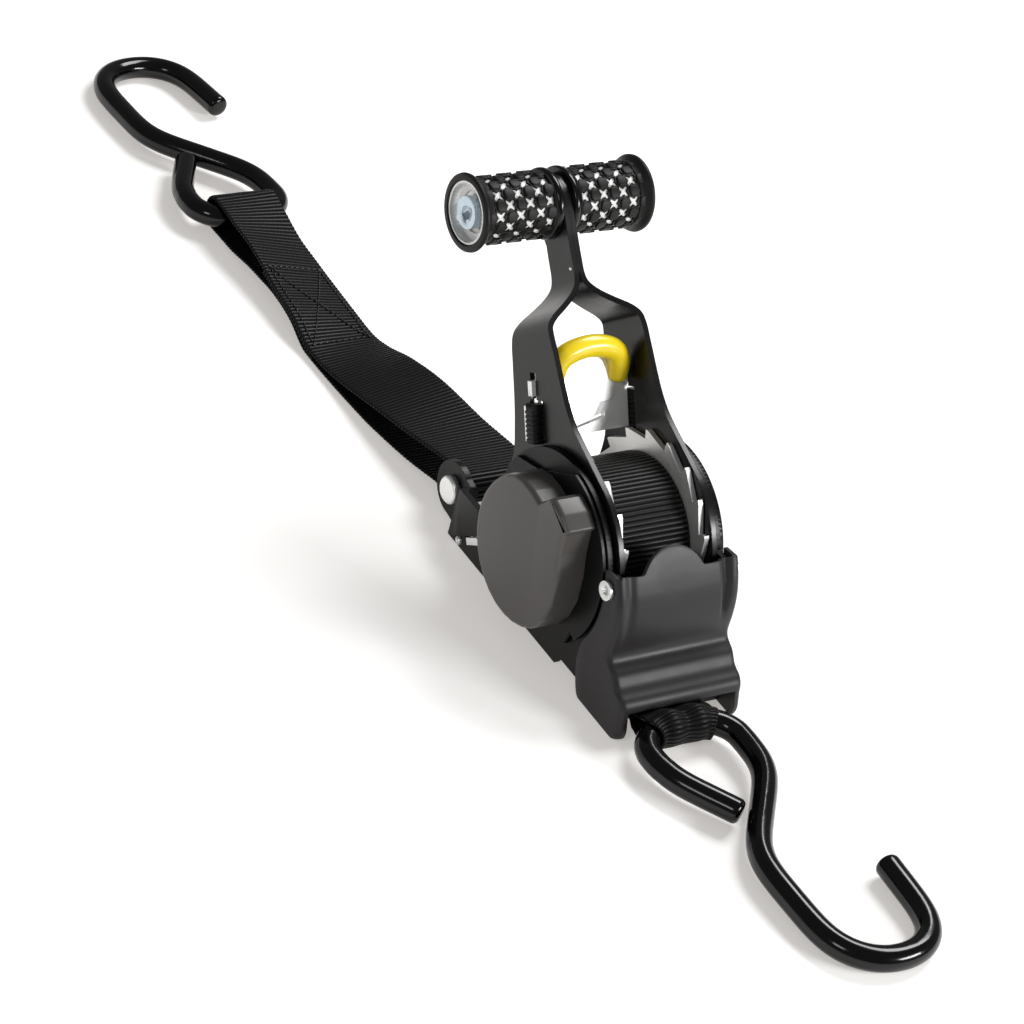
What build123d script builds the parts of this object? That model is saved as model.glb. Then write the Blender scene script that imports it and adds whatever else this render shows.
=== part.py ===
from build123d import *
import os
from math import atan2, cos, degrees, pi, radians, sin, sqrt

os.makedirs("parts", exist_ok=True)

# Self-retracting ratchet tie-down with a T-handle and two dipped S-hooks.
# Millimetres. +X points to the retracting front end, +Z up, the spool turns about Y.
# The origin lies on the underside of the frame, straight below the spool.

# ---- shared sizes ----
AXIS_H = 45.0            # spool axis above the underside
STRAP_W = 38.0           # webbing width
WEB_T = 1.5              # webbing thickness
RUN_FIT = 0.05           # radial clearance of a turning fit
SEAT = 0.03              # radial clearance of a fixed fit
GAP = 0.3                # air beside soft parts

# ---- spool ----
TEETH = 18
TIP_R = 43.8
ROOT_R = 39.6
TOOTH_PHASE = 93.0       # direction of one tooth tip, degrees up from +X
WHEEL_T = 2.5
WHEEL_IN = 19.25         # inner face of a wheel from the middle plane
SHAFT_R = 8.0
ROLL_R = 34.3

# ---- frame ----
PLATE_T = 3.0
SIDE_IN = 25.5           # inner face of a frame side
SIDE_OUT = SIDE_IN + PLATE_T
HUB_R = 42.0
EAR_IN = 20.2
EAR_X = -79.0
EAR_Z = 15.0
EAR_R = 13.0
JOG_X = -68.0
FLOOR_FRONT = 60.0
REAR_TOP = 24.5
PIN_R = 4.0
BUSH_R = 5.5

# ---- handle, drawn upright and then leaned back ----
LEAN = 41.6              # lean of the handle from upright
ARM_IN = 22.2
ARM_T = 2.5
ARM_HUB_R = 45.0
FOLD_U = 92.0            # height of the shoulder fold above the spool axis
NECK_U = 107.0           # height where the two strips meet
GRIP_U = 142.5
FOLD_BACK = -8.0         # edges of the arm at the shoulder fold
FOLD_FRONT = 18.4
NECK_BACK = -5.0         # edges of the neck
NECK_FRONT = 12.6
NECK_RIVET_V = 10.4
NECK_RIVET_U = 113.0
NECK_RIVET_R = 1.0
GRIP_R = 14.6
FLANGE_R = 16.8
GRIP_HALF = 43.0
TUBE_R = 9.0
BOLT_R = 4.0

# ---- drive pawl ----
PAWL_TILT = 12.0         # pawl slide leans this far forward of the handle
PAWL_V = -1.4            # where the slide line crosses PAWL_U
PAWL_U = 54.4
PAWL_T = 3.0
SLOT_LOW = -11.2         # ends of the arm slot, measured along the slide
SLOT_HIGH = 18.5
SLEEVE_LEN = 16.7
PAWL_TIP_R = 44.65
PULL_R = 4.3             # thickness radius of the rolled finger pull
PULL_FOOT = 12.5         # foot of the pull along the slide
PULL_LEAN = 17.0         # forward lean of the pull from the pawl plate

# ---- lock pawl ----
LOCK_DIR = 215.6         # direction of the lock pawl from the spool axis
LOCK_T = 3.2
LOCK_TIP_R = 44.2
LOCK_END_R = 65.0
ANCHOR_R = 1.9

# ---- release lever ----
LEVER_IN = 29.0
LEVER_T = 2.0
LEVER_OUT = LEVER_IN + LEVER_T
LEVER_PIN_X = 44.8
LEVER_PIN_Z = 56.8
LEVER_PIN_R = 2.2
BOSS_R = 5.2
LEVER_BACK_R = 43.4
LINK_HALF = 12.0

# ---- spring housing ----
FLANGE_T = 2.0
FLANGE_HUB_R = 41.0
DRUM_FACE = 45.0
DRUM_R = 33.0
DRUM_TOP = 29.0          # flat top of the drum above the spool axis
DRUM_WALL = 2.2
SPRING_STEPS = 67        # twelfths of a turn in the recoil spring

# ---- hooks ----
WIRE_R = 4.7
COAT_R = 5.5
FRONT_EYE_X = 82.5
FRONT_EYE_Y = -5.4
FRONT_EYE_Z = 8.9
FRONT_TILT = 1.35
FRONT_YAW = 1.6          # the hooks lie slightly askew on the ground
FRONT_LOOP = 7.4         # outer radius of the webbing round the front eye
FRONT_LOOP_W = 17.0
REAR_EYE_X = -306.2
REAR_EYE_Y = -7.0
REAR_EYE_Z = 9.9
REAR_TILT = 1.74
REAR_YAW = 1.6
STRAP_HOOK_HALF = 16.2   # half width of the webbing gathered in the rear eye
PIN_LOOP = 7.4           # outer radius of the webbing round the rear pin
HOOK_LOOP = 8.1          # half height of the webbing round the rear eye
HOOK_LOOP_X = REAR_EYE_X - 4.4


def save(name, shape):
    export_step(shape, f"parts/{name}.step")


def poly(*points):
    # a filled outline, always wound the same way round
    following = points[1:] + points[:1]
    area = sum(a[0] * b[1] - b[0] * a[1] for a, b in zip(points, following))
    return Polygon(*(points if area > 0 else points[::-1]))


def slab(sketch, y_from, y_to):
    # a sketch drawn in (x, z), made solid between two y values
    return extrude(Plane.XZ.offset(-y_to) * sketch, y_to - y_from, dir=(0, -1, 0))


def disc(x, z, r):
    return Pos(x, z) * Circle(r)


def rod(x, z, r, y_from, y_to):
    return slab(disc(x, z, r), y_from, y_to)


def tube(x, z, r_out, r_in, y_from, y_to):
    return slab(disc(x, z, r_out) - disc(x, z, r_in), y_from, y_to)


def both(make):
    # a left and a right copy from one function of the side sign
    return Compound(children=[make(-1), make(1)])


def side_slab(sketch, side, near, far):
    low, high = sorted((side * near, side * far))
    return slab(sketch, low, high)


def bar(x0, z0, x1, z1, width):
    # a straight bar in (x, z) given by its centre line
    length = sqrt((x1 - x0) ** 2 + (z1 - z0) ** 2)
    angle = degrees(atan2(z1 - z0, x1 - x0))
    return Pos((x0 + x1) / 2, (z0 + z1) / 2) * Rot(0, 0, angle) * Rectangle(length, width)


def polar(r, angle, z0=AXIS_H):
    return (r * cos(radians(angle)), z0 + r * sin(radians(angle)))


# ---- base frame: one folded steel channel with hubs, jogs and rear ears ----
def frame_outline():
    body = poly((JOG_X, 0), (22, 0), (27, 4.5), (FLOOR_FRONT, 4.5), (FLOOR_FRONT - 3, 20),
                   (40, 45), (-40, 45), (-48, REAR_TOP), (JOG_X, REAR_TOP))
    boss = disc(LEVER_PIN_X, LEVER_PIN_Z, BOSS_R)
    neck = poly((20, 60), (LEVER_PIN_X, LEVER_PIN_Z + BOSS_R), (LEVER_PIN_X + BOSS_R, LEVER_PIN_Z), (40, 30))
    return body + disc(0, AXIS_H, HUB_R) - Pos(0, -50) * Rectangle(300, 100) + boss + neck


def lock_slot(r_from, r_to, width):
    a = polar(r_from, LOCK_DIR)
    b = polar(r_to, LOCK_DIR)
    return bar(a[0], a[1], b[0], b[1], width)


def frame_side(side):
    outline = frame_outline()
    outline -= disc(0, AXIS_H, 11 + SEAT)
    outline -= disc(LEVER_PIN_X, LEVER_PIN_Z, LEVER_PIN_R + SEAT)
    outline -= lock_slot(50, 67.5, LOCK_T + 0.8)
    outline -= anchor_disc(ANCHOR_R + SEAT)
    return side_slab(outline, side, SIDE_IN, SIDE_OUT)


def frame_ear(side):
    outline = disc(EAR_X, EAR_Z, EAR_R)
    outline += poly((EAR_X, EAR_Z - EAR_R), (JOG_X, 0), (JOG_X, REAR_TOP), (EAR_X, EAR_Z + EAR_R))
    outline -= disc(EAR_X, EAR_Z, PIN_R + SEAT)
    return side_slab(outline, side, EAR_IN, EAR_IN + PLATE_T)


def frame_jog(side):
    outline = poly((JOG_X, 0), (JOG_X + PLATE_T, 0), (JOG_X + PLATE_T, REAR_TOP), (JOG_X, REAR_TOP))
    return side_slab(outline, side, EAR_IN, SIDE_OUT)


def frame_floor():
    tray = slab(poly((-43.5, 0), (23, 0), (23, 2.5), (-43.5, 2.5)), -SIDE_OUT, SIDE_OUT)
    tie = slab(poly((JOG_X, 0), (-62.5, 0), (-62.5, 2.5), (JOG_X, 2.5)), -SIDE_OUT, SIDE_OUT)
    ramp = slab(poly((22, 0), (27, 4.5), (FLOOR_FRONT, 4.5), (FLOOR_FRONT, 6.2), (26, 6.2), (22, 2.5)),
                -SIDE_OUT, SIDE_OUT)
    tray += ramp - Pos(24, 0, 2) * Box(12, 2 * LINK_HALF + 1, 12)
    for side in (-1, 1):
        tray -= Pos(1, side * (18.9 + SIDE_IN) / 2, 1) * Box(44, SIDE_IN - 18.9, 8)
    return tray + tie


def base_frame():
    shape = frame_floor()
    for side in (-1, 1):
        shape = shape + frame_side(side) + frame_jog(side) + frame_ear(side)
    return shape


# ---- rear strap pin, its bush, and the small fixed pieces ----
def rear_pin():
    reach = EAR_IN + PLATE_T
    shank = rod(EAR_X, EAR_Z, PIN_R, -reach - 1, reach + 1)
    heads = rod(EAR_X, EAR_Z, 6.5, -reach - 3.4, -reach) + rod(EAR_X, EAR_Z, 6.5, reach, reach + 3.4)
    return chamfer((shank + heads).edges().filter_by(GeomType.CIRCLE).group_by(Axis.Y)[0], 1.0)


def rear_bush():
    return tube(EAR_X, EAR_Z, BUSH_R, PIN_R + SEAT, -EAR_IN + 0.05, EAR_IN - 0.05)


def spool_bush(side):
    body = side_slab(disc(0, AXIS_H, 11) - disc(0, AXIS_H, SHAFT_R + RUN_FIT), side, SIDE_IN, SIDE_OUT)
    return body


def lever_pin(side):
    shank = side_slab(disc(LEVER_PIN_X, LEVER_PIN_Z, LEVER_PIN_R), side, SIDE_IN + 0.2, LEVER_OUT + 0.5)
    head = side_slab(disc(LEVER_PIN_X, LEVER_PIN_Z, 4.2), side, LEVER_OUT + 0.1, LEVER_OUT + 1.8)
    dimple = side_slab(disc(LEVER_PIN_X, LEVER_PIN_Z, 1.3), side, LEVER_OUT + 1.0, LEVER_OUT + 3)
    return shank + head - dimple


# ---- spring housing on the left side ----
def drum_outline(inset):
    r = DRUM_R - inset
    top = AXIS_H + DRUM_TOP - inset
    round_part = disc(0, AXIS_H, r) - Pos(0, top + 20) * Rectangle(90, 40)
    flat = poly((40, 71), (25.5 - inset, 71), (25.5 - inset, 62), (31.8 - inset, 46), (40, 46))
    lobe = poly((3.5 + inset, 70), (11.3 + inset * 0.9, 79.6 - inset), (18, 79.2 - inset),
                   (23.5 - inset, 75.5 - inset * 0.7), (25.2 - inset, 70), (24, 55), (2, 55))
    return round_part - flat + lobe


def housing_cover():
    outer = slab(drum_outline(0), -DRUM_FACE, -SIDE_OUT - FLANGE_T)
    inner = slab(drum_outline(DRUM_WALL), -DRUM_FACE + DRUM_WALL, -SIDE_OUT - FLANGE_T)
    shell = outer - inner
    return fillet(shell.faces().sort_by(Axis.Y)[0].edges(), 1.2)


def housing_base():
    flange = disc(0, AXIS_H, FLANGE_HUB_R) & Pos(0, AXIS_H) * Rectangle(100, 2 * FLANGE_HUB_R)
    flange -= poly((60, 12), (29, 22), (26, 0), (-60, -10), (60, -20))
    flange -= poly((-60, 100), (8, 100), (8, 88), (-18, 72), (-60, 60))
    flange -= poly((-60, 60), (-30, 60), (-34, 30), (-22, 0), (-60, 0))
    flange += drum_outline(0.2)
    flange -= disc(0, AXIS_H, SHAFT_R + 1.0)
    for x, z in housing_rivet_places():
        flange -= disc(x, z, 1.6)
    return slab(flange, -SIDE_OUT - FLANGE_T, -SIDE_OUT)


def housing_rivet_places():
    return [polar(25, a) for a in (20, 140, 260)]


def housing_rivets():
    solids = []
    face = -SIDE_OUT - FLANGE_T
    for x, z in housing_rivet_places():
        solids.append(rod(x, z, 1.57, face, -SIDE_OUT) + rod(x, z, 2.8, face - 1.2, face))
    return Compound(children=solids)


def spiral_point(turn, r0, pitch):
    a = 2 * pi * turn
    r = r0 + pitch * turn
    return (r * cos(a), AXIS_H + r * sin(a))


def recoil_spring():
    steps = [i / 12 for i in range(SPRING_STEPS + 1)]
    inner = Spline(*[spiral_point(t, SHAFT_R + 1.6, 2.7) for t in steps])
    outer = Spline(*[spiral_point(t, SHAFT_R + 2.3, 2.7) for t in steps])
    ends = [Line(inner @ 0, outer @ 0), Line(inner @ 1, outer @ 1)]
    face = make_face([inner, outer] + ends)
    return slab(face, -DRUM_FACE + DRUM_WALL + 0.8, -SIDE_OUT - FLANGE_T - 1.4)


def spring_post():
    turns = SPRING_STEPS / 12
    x, z = polar(SHAFT_R + 2.3 + 2.7 * turns + 1.9, 360 * turns)
    return rod(x, z, 1.8, -DRUM_FACE + DRUM_WALL, -SIDE_OUT - FLANGE_T)


# ---- spool: shaft, two ratchet wheels, rolled webbing ----
def wheel_profile():
    points = []
    pitch = 360 / TEETH
    for i in range(TEETH):
        a = TOOTH_PHASE + i * pitch
        points.append(polar(TIP_R, a, 0))
        points.append(polar(TIP_R - 0.3, a - 2.2, 0))
        points.append(polar(ROOT_R, a - pitch + 0.6, 0))
    ordered = []
    for i in range(TEETH):
        tip, land, root = points[3 * i: 3 * i + 3]
        ordered += [root, land, tip]
    return Pos(0, AXIS_H) * poly(*ordered)


def ratchet_wheel(side):
    sketch = wheel_profile() - disc(0, AXIS_H, SHAFT_R + SEAT)
    return side_slab(sketch, side, WHEEL_IN, WHEEL_IN + WHEEL_T)


def spool_shaft():
    shaft = rod(0, AXIS_H, SHAFT_R, -DRUM_FACE + DRUM_WALL + 1.0, SIDE_OUT + 3.8)
    slot = Pos(0, 0, AXIS_H) * Box(2 * SHAFT_R + 2, STRAP_W + 0.6, 3.4)
    return shaft - slot


def webbing_roll():
    ring = tube(0, AXIS_H, ROLL_R, SHAFT_R + SEAT, -STRAP_W / 2, STRAP_W / 2)
    tongue = Pos(0, 0, AXIS_H) * Box(2 * SHAFT_R + 2, STRAP_W, 3.2)
    return ring + tongue


def end_washer():
    sketch = disc(0, AXIS_H, 13) - disc(0, AXIS_H, SHAFT_R + SEAT)
    for i in range(24):
        x, z = polar(13.2, i * 15)
        sketch -= disc(x, z, 0.8)
    return slab(sketch, SIDE_OUT + 0.1, SIDE_OUT + 2.0)


def end_clip():
    sketch = disc(0, AXIS_H, 10.5) - disc(0, AXIS_H, SHAFT_R + SEAT)
    sketch -= Pos(0, AXIS_H - 9) * Rectangle(5, 12)
    return slab(sketch, SIDE_OUT + 2.05, SIDE_OUT + 3.4)


# ---- handle, built upright over the spool axis with the axis at the origin ----
def lean(shape):
    return Pos(0, 0, AXIS_H) * Rot(0, -LEAN, 0) * shape


def arm_outline():
    blade = poly((-22, 38), (-15, 63), (FOLD_BACK, FOLD_U), (FOLD_FRONT, FOLD_U), (20.9, 75),
                 (22.7, 55), (28, 41), (39, 22), (0, 0))
    return blade + disc(0, 0, ARM_HUB_R)


def pawl_point(along, across=0.0):
    # along the pawl slide from PAWL_U, across towards the front
    a = radians(PAWL_TILT)
    return (PAWL_V + along * sin(a) + across * cos(a), PAWL_U + along * cos(a) - across * sin(a))


def pawl_bar(s0, s1, width, across=0.0):
    a = pawl_point(s0, across)
    b = pawl_point(s1, across)
    return bar(a[0], a[1], b[0], b[1], width)


def strip_path():
    y0 = ARM_IN + ARM_T / 2
    y1 = ARM_T / 2 + 0.02
    pts = [(y0, FOLD_U - 12), (y0, FOLD_U), (y1, NECK_U), (y1, GRIP_U - TUBE_R - 4)]
    return FilletPolyline(*pts, radius=6)


def strip_outline():
    # the strip narrows from the shoulder fold to the neck
    top = GRIP_U - TUBE_R
    return poly((FOLD_BACK, FOLD_U - 20), (FOLD_BACK, FOLD_U), (NECK_BACK, NECK_U), (NECK_BACK, top),
                (NECK_FRONT, top), (NECK_FRONT, NECK_U), (FOLD_FRONT, FOLD_U), (FOLD_FRONT, FOLD_U - 20))


def bent_strip(side):
    # the strip seen edge-on in (y, z), folded inwards at the shoulder
    line = strip_path()
    band = offset(line, ARM_T / 2, side=Side.BOTH)
    solid = extrude(Plane.YZ.offset(FOLD_BACK) * make_face(band), FOLD_FRONT - FOLD_BACK, dir=(1, 0, 0))
    solid &= slab(strip_outline(), -ARM_IN - 10, ARM_IN + 10)
    return solid if side > 0 else mirror(solid, Plane.XZ)


def handle_arm(side):
    outline = arm_outline() - disc(0, 0, SHAFT_R + RUN_FIT)
    outline -= pawl_bar(SLOT_LOW, SLOT_HIGH, 9.6, 1.5)
    blade = side_slab(outline, side, ARM_IN, ARM_IN + ARM_T)
    strip = bent_strip(side)
    arm = blade + strip + side_slab(neck_eye(), side, 0.02, ARM_T + 0.02)
    arm -= side_slab(rivet_holes(), side, -1, ARM_T + 1)
    return lean(arm)


def neck_eye():
    plate = poly((NECK_BACK, GRIP_U - 16), (NECK_FRONT, GRIP_U - 16), (13, GRIP_U), (-13, GRIP_U))
    return plate + Pos(0, GRIP_U) * Circle(13) - Pos(0, GRIP_U) * Circle(TUBE_R + SEAT)


def rivet_holes():
    return Pos(NECK_RIVET_V, NECK_RIVET_U) * Circle(NECK_RIVET_R + SEAT)


def neck_rivet():
    # small rivet that closes the two strips together near the front edge
    reach = ARM_T + 0.02
    shank = rod(NECK_RIVET_V, NECK_RIVET_U, NECK_RIVET_R, -reach, reach)
    near = rod(NECK_RIVET_V, NECK_RIVET_U, 1.5, -reach - 0.5, -reach)
    far = rod(NECK_RIVET_V, NECK_RIVET_U, 1.5, reach, reach + 0.5)
    return lean(shank + near + far)


# ---- grip across the top of the handle ----
def grip_tube():
    return lean(tube(0, GRIP_U, TUBE_R, 6.5, -GRIP_HALF + 7, GRIP_HALF - 7))


def grip_sleeve(side):
    inner = ARM_T + 3.4
    body = side_slab(Pos(0, GRIP_U) * Circle(GRIP_R), side, inner, GRIP_HALF)
    collar = side_slab(Pos(0, GRIP_U) * Circle(FLANGE_R), side, GRIP_HALF - 3.5, GRIP_HALF)
    bore = side_slab(Pos(0, GRIP_U) * Circle(TUBE_R + SEAT), side, inner - 1, GRIP_HALF + 1)
    mouth = side_slab(Pos(0, GRIP_U) * Circle(13.4 + SEAT), side, GRIP_HALF - 7, GRIP_HALF + 1)
    return lean(body + collar - bore - mouth)


def grip_ring(side):
    sketch = Pos(0, GRIP_U) * (Circle(FLANGE_R) - Circle(TUBE_R + SEAT))
    return lean(side_slab(sketch, side, ARM_T + 0.05, ARM_T + 3.35))


def grip_cup(side):
    outer = side_slab(Pos(0, GRIP_U) * Circle(13.4), side, GRIP_HALF - 6.95, GRIP_HALF - 0.6)
    hollow = side_slab(Pos(0, GRIP_U) * Circle(12.2), side, GRIP_HALF - 5.7, GRIP_HALF)
    hole = side_slab(Pos(0, GRIP_U) * Circle(BOLT_R + SEAT), side, GRIP_HALF - 8, GRIP_HALF)
    return lean(outer - hollow - hole)


def grip_bolt():
    shank = rod(0, GRIP_U, BOLT_R, -GRIP_HALF + 2, GRIP_HALF - 1)
    head = rod(0, GRIP_U, 7.0, -GRIP_HALF + 0.6, -GRIP_HALF + 5.65)
    socket = slab(Pos(0, GRIP_U) * RegularPolygon(3.4, 6), -GRIP_HALF, -GRIP_HALF + 3.6)
    return lean(shank + head - socket)


def grip_nut():
    sketch = Pos(0, GRIP_U) * (RegularPolygon(7.5, 6) - Circle(BOLT_R + SEAT))
    return lean(slab(sketch, GRIP_HALF - 5.65, GRIP_HALF - 0.6))


# ---- drive pawl riding in the arm slots, with its yellow pull ----
def tip_distance():
    # how far along the slide the pawl tip clears the tooth circle
    a = radians(PAWL_TILT)
    b = PAWL_V * sin(a) + PAWL_U * cos(a)
    c = PAWL_V ** 2 + PAWL_U ** 2 - PAWL_TIP_R ** 2
    return -b + sqrt(b * b - c)


def slot_spot(y, along):
    # a short rod through the pawl plate, used for the ends of its slot
    low = pawl_point(along - 0.9)
    high = pawl_point(along + 0.9)
    return slab(bar(low[0], low[1], high[0], high[1], 10), y - 0.9, y + 0.9)


def pawl_slot():
    # slanting slot in the lower half of the plate
    steps = [i / 12 for i in range(13)]
    cut = slot_spot(9.0, -3.4)
    for t in steps[1:]:
        cut += slot_spot(9.0 - 14.5 * t, -3.4 - 3.3 * t)
    return cut


def drive_pawl():
    tip = tip_distance()
    plate = slab(pawl_bar(tip, 24.4, PAWL_T), -16.4, 16.4)
    wide = slab(pawl_bar(tip, 15.2, PAWL_T), -21.9, 21.9)
    ears = slab(pawl_bar(8.8, 15.2, PAWL_T), -26.4, 26.4)
    return lean(plate + wide + ears - pawl_slot())


def pull_path():
    points = [(-16.6, 0), (-17.0, 10), (-10, 15.0), (0, 16.4), (10, 15.0), (17.0, 10), (16.6, 0)]
    return FilletPolyline(*[Vector(y, up, 0) for y, up in points], radius=4.5)


def finger_pull():
    # fat rolled arch standing on the front of the pawl plate
    foot = pawl_point(PULL_FOOT, 2.6)
    a = radians(PAWL_TILT + PULL_LEAN)
    frame = Plane(origin=(foot[0], 0, foot[1]), x_dir=(0, 1, 0), z_dir=(cos(a), 0, -sin(a)))
    path = frame * pull_path()
    bead = sweep(Plane(origin=path @ 0, z_dir=path % 0) * Circle(PULL_R), path)
    lip = slab(pawl_bar(22.4, 28.6, 7.0, 3.2), -15.5, 15.5)
    plate = slab(pawl_bar(0, 24.45, PAWL_T + 0.1), -30, 30)
    return lean(bead + lip - plate)


def pull_rivet(side):
    x, z = pawl_point(17.0)
    low = slab(pawl_bar(15.4, 18.6, 1.5, -2.3), 8 * side - 2.2, 8 * side + 2.2)
    return lean(low)


def spring_sleeve(side):
    # ribbed black spring sleeve standing in the slot below the pawl ear
    start = pawl_point(SLOT_LOW + 0.2, 1.5)
    ribs = extrude(RectangleRounded(8.2, 5.6, 2.2), SLEEVE_LEN)
    for i in range(7):
        ribs += Pos(0, 0, 0.7 + 2.0 * i) * extrude(RectangleRounded(9.0, 6.4, 2.6), 1.1)
    y = side * (ARM_IN + 3.35)
    return lean(Pos(start[0], y, start[1]) * Rot(0, PAWL_TILT, 0) * ribs)


def spring_guide(side):
    # bright strip riveted along the back of the slot
    strip = side_slab(pawl_bar(-11, 4, 2.6, -5.5), side, ARM_IN + ARM_T, ARM_IN + ARM_T + 0.7)
    return lean(strip)


# ---- lock pawl, its springs and the release linkage ----
def lock_pawl():
    plate = slab(lock_slot(LOCK_TIP_R, 60, LOCK_T), -21.9, 21.9)
    ears = slab(lock_slot(56, LOCK_END_R, LOCK_T), -29.6, 29.6)
    ears -= slab(lock_slot(60, 70, LOCK_T + 1), -25.2, 25.2)
    lug = slab(poly((-50, 3.4), (-47.2, 3.4), (-47.2, 11), (-50, 9)), -6, 6)
    return plate + ears + lug


def anchor_disc(r):
    a = polar(72.5, LOCK_DIR)
    return disc(a[0], a[1], r)


def anchor_bar():
    # fixed bar behind the pawl that the springs push against
    return slab(anchor_disc(ANCHOR_R), -SIDE_OUT - 0.8, SIDE_OUT + 0.8)


def lock_spring(side):
    # short coil between the pawl and the fixed bar
    coil = Helix(1.7, 7.2, 2.4)
    wire = sweep(Plane(origin=coil @ 0, z_dir=coil % 0) * Circle(0.45), coil)
    seat = polar(70.0, LOCK_DIR)
    return Pos(seat[0], side * 14, seat[1]) * Rot(0, 90 - LOCK_DIR + 180, 0) * wire


def release_link():
    blade = slab(poly((-46.7, 2.8), (61.6, 2.8), (61.6, 4.2), (-46.7, 4.2)), -LINK_HALF, LINK_HALF)
    tab = slab(poly((-46.7, 2.8), (-45.2, 2.8), (-45.2, 6.4), (-46.7, 6.4)), -6, 6)
    return blade + tab


# ---- front release lever: a shell with two side walls and ridged front ----
def lever_outline():
    outer = poly((37, 60), (41, 63.6), (47, 64.3), (50, 62.5), (54, 55), (56, 47), (56.5, 40), (57, 32),
                  (59, 27), (62.6, 25.2), (64.5, 24.0), (70.5, 19.6), (72.6, 18.4), (74.2, 16.6), (75, 12.4),
                  (77, 6), (76, 2), (73.5, 0), (45, 0), (41, 7.5), (38.4, 14), (38, 24), (34, 40))
    return outer - disc(0, AXIS_H, LEVER_BACK_R)


def lever_hollow():
    return poly((0, 80), (45, 64), (48, 62), (52, 55), (54, 47), (54.5, 40), (55, 32), (57, 25.8),
                   (61.6, 22.8), (70.5, 16.4), (72.3, 13), (90, 13), (90, -5), (0, -5))


def lever_hump():
    face = Plane(origin=(50, 0, 62.5), x_dir=(0, 1, 0), z_dir=(0.857, 0, 0.515))
    dome = Pos(0, -2.5) * Circle(13.5) - Pos(0, -16.5) * Rectangle(40, 30)
    return extrude(face * dome, 2.2, dir=(-0.857, 0, -0.515))


def release_lever():
    shell = slab(lever_outline(), -LEVER_OUT, LEVER_OUT) - slab(lever_hollow(), -LEVER_IN, LEVER_IN)
    lip = slab(poly((62, 0.7), (64.4, 0.7), (64.4, 4.2), (62, 4.2)), -LEVER_OUT, LEVER_OUT)
    shell = shell + lip + lever_hump()
    hole = disc(LEVER_PIN_X, LEVER_PIN_Z, LEVER_PIN_R + RUN_FIT)
    for side in (-1, 1):
        shell -= side_slab(hole, side, LEVER_IN - 1, LEVER_OUT + 1)
    return shell


def side_cap():
    # shallow pressed cap over the shaft end on the right side
    rim = disc(0, AXIS_H, FLANGE_HUB_R) - Pos(-50, 20) * Rectangle(60, 60) - Pos(0, -10) * Rectangle(140, 40)
    inside = disc(0, AXIS_H, 24)
    shell = slab(rim, SIDE_OUT, SIDE_OUT + 2.4) + rod(0, AXIS_H, 27, SIDE_OUT, SIDE_OUT + 6.5)
    return shell - slab(inside, SIDE_OUT - 1, SIDE_OUT + 4.5)


# ---- dipped S-hook, drawn with the middle of its eye bar at the origin ----
def hook_path():
    points = [(97, 38), (142.9, 34.5), (142.9, -14), (76, -14), (33, 22.9), (0, 22.9), (0, -22.9),
              (25, -22.9), (52, -5.35)]
    return FilletPolyline(*[Vector(x, y, 0) for x, y in points], radius=[20, 24, 28, 21, 14, 14, 13.5])


def hook_wire(radius):
    path = hook_path()
    return sweep(Plane(origin=path @ 0, z_dir=path % 0) * Circle(radius), path)


def place_front(shape):
    return Pos(FRONT_EYE_X, FRONT_EYE_Y, FRONT_EYE_Z) * Rot(0, FRONT_TILT, FRONT_YAW) * shape


def place_rear(shape):
    return Pos(REAR_EYE_X, REAR_EYE_Y, REAR_EYE_Z) * Rot(0, -REAR_TILT, REAR_YAW) * mirror(shape, Plane.YZ)


def hook_core():
    return hook_wire(WIRE_R)


def hook_coating():
    shell = hook_wire(COAT_R) - hook_wire(WIRE_R)
    path = hook_path()
    for spot in (0, 1):
        cap = Plane(origin=path @ spot, z_dir=(path % spot) * (2 * spot - 1)) * Circle(COAT_R)
        shell += extrude(cap, 1.2)
    return shell


# ---- fixed strap from the rear pin to the rear hook ----
def strap_blade():
    pin_top = EAR_Z + PIN_LOOP
    hook_top = REAR_EYE_Z + HOOK_LOOP
    top = Spline((EAR_X, pin_top), (-100, 19.9), (-122, 17.0), (-150, 12.6), (-177, 7.2),
                 (-196, 3.9), (-212, 3.4))
    low = Spline((-212, 0.4), (-150, 0.9), (-112, 2.6), (EAR_X, EAR_Z - PIN_LOOP))
    near = make_face([top, Line(top @ 1, low @ 0), low, Line(low @ 1, top @ 0)])
    upper = Spline((-212, 3.4), (-248, 3.5), (-262, 5.6), (-280, 11.6), (-298, 16.8), (HOOK_LOOP_X, hook_top))
    under = Spline((HOOK_LOOP_X, REAR_EYE_Z - HOOK_LOOP), (-285, 0.9), (-248, 0.4), (-212, 0.4))
    far = make_face([upper, Line(upper @ 1, under @ 0), under, Line(under @ 1, upper @ 0)])
    return near + far + disc(EAR_X, EAR_Z, PIN_LOOP) + disc(HOOK_LOOP_X, REAR_EYE_Z, HOOK_LOOP)


def strap_hollows():
    pin_hole = PIN_LOOP - WEB_T
    hook_hole = HOOK_LOOP - WEB_T
    top = Spline((EAR_X, EAR_Z + pin_hole), (-100, 18.4), (-122, 15.5), (-150, 11.1),
                 (-176, 5.8), (-194, 2.4))
    low = Spline((-194, 2.0), (-150, 2.4), (-112, 4.1), (EAR_X, EAR_Z - pin_hole))
    near = make_face([top, Line(top @ 1, low @ 0), low, Line(low @ 1, top @ 0)])
    upper = Spline((-252, 2.4), (-263, 4.4), (-280, 10.0), (-298, 15.2),
                   (HOOK_LOOP_X, REAR_EYE_Z + hook_hole))
    under = Spline((HOOK_LOOP_X, REAR_EYE_Z - hook_hole), (-285, 2.4), (-252, 1.9))
    far = make_face([upper, Line(upper @ 1, under @ 0), under, Line(under @ 1, upper @ 0)])
    return near + far + disc(EAR_X, EAR_Z, pin_hole) + disc(HOOK_LOOP_X, REAR_EYE_Z, hook_hole)


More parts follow.
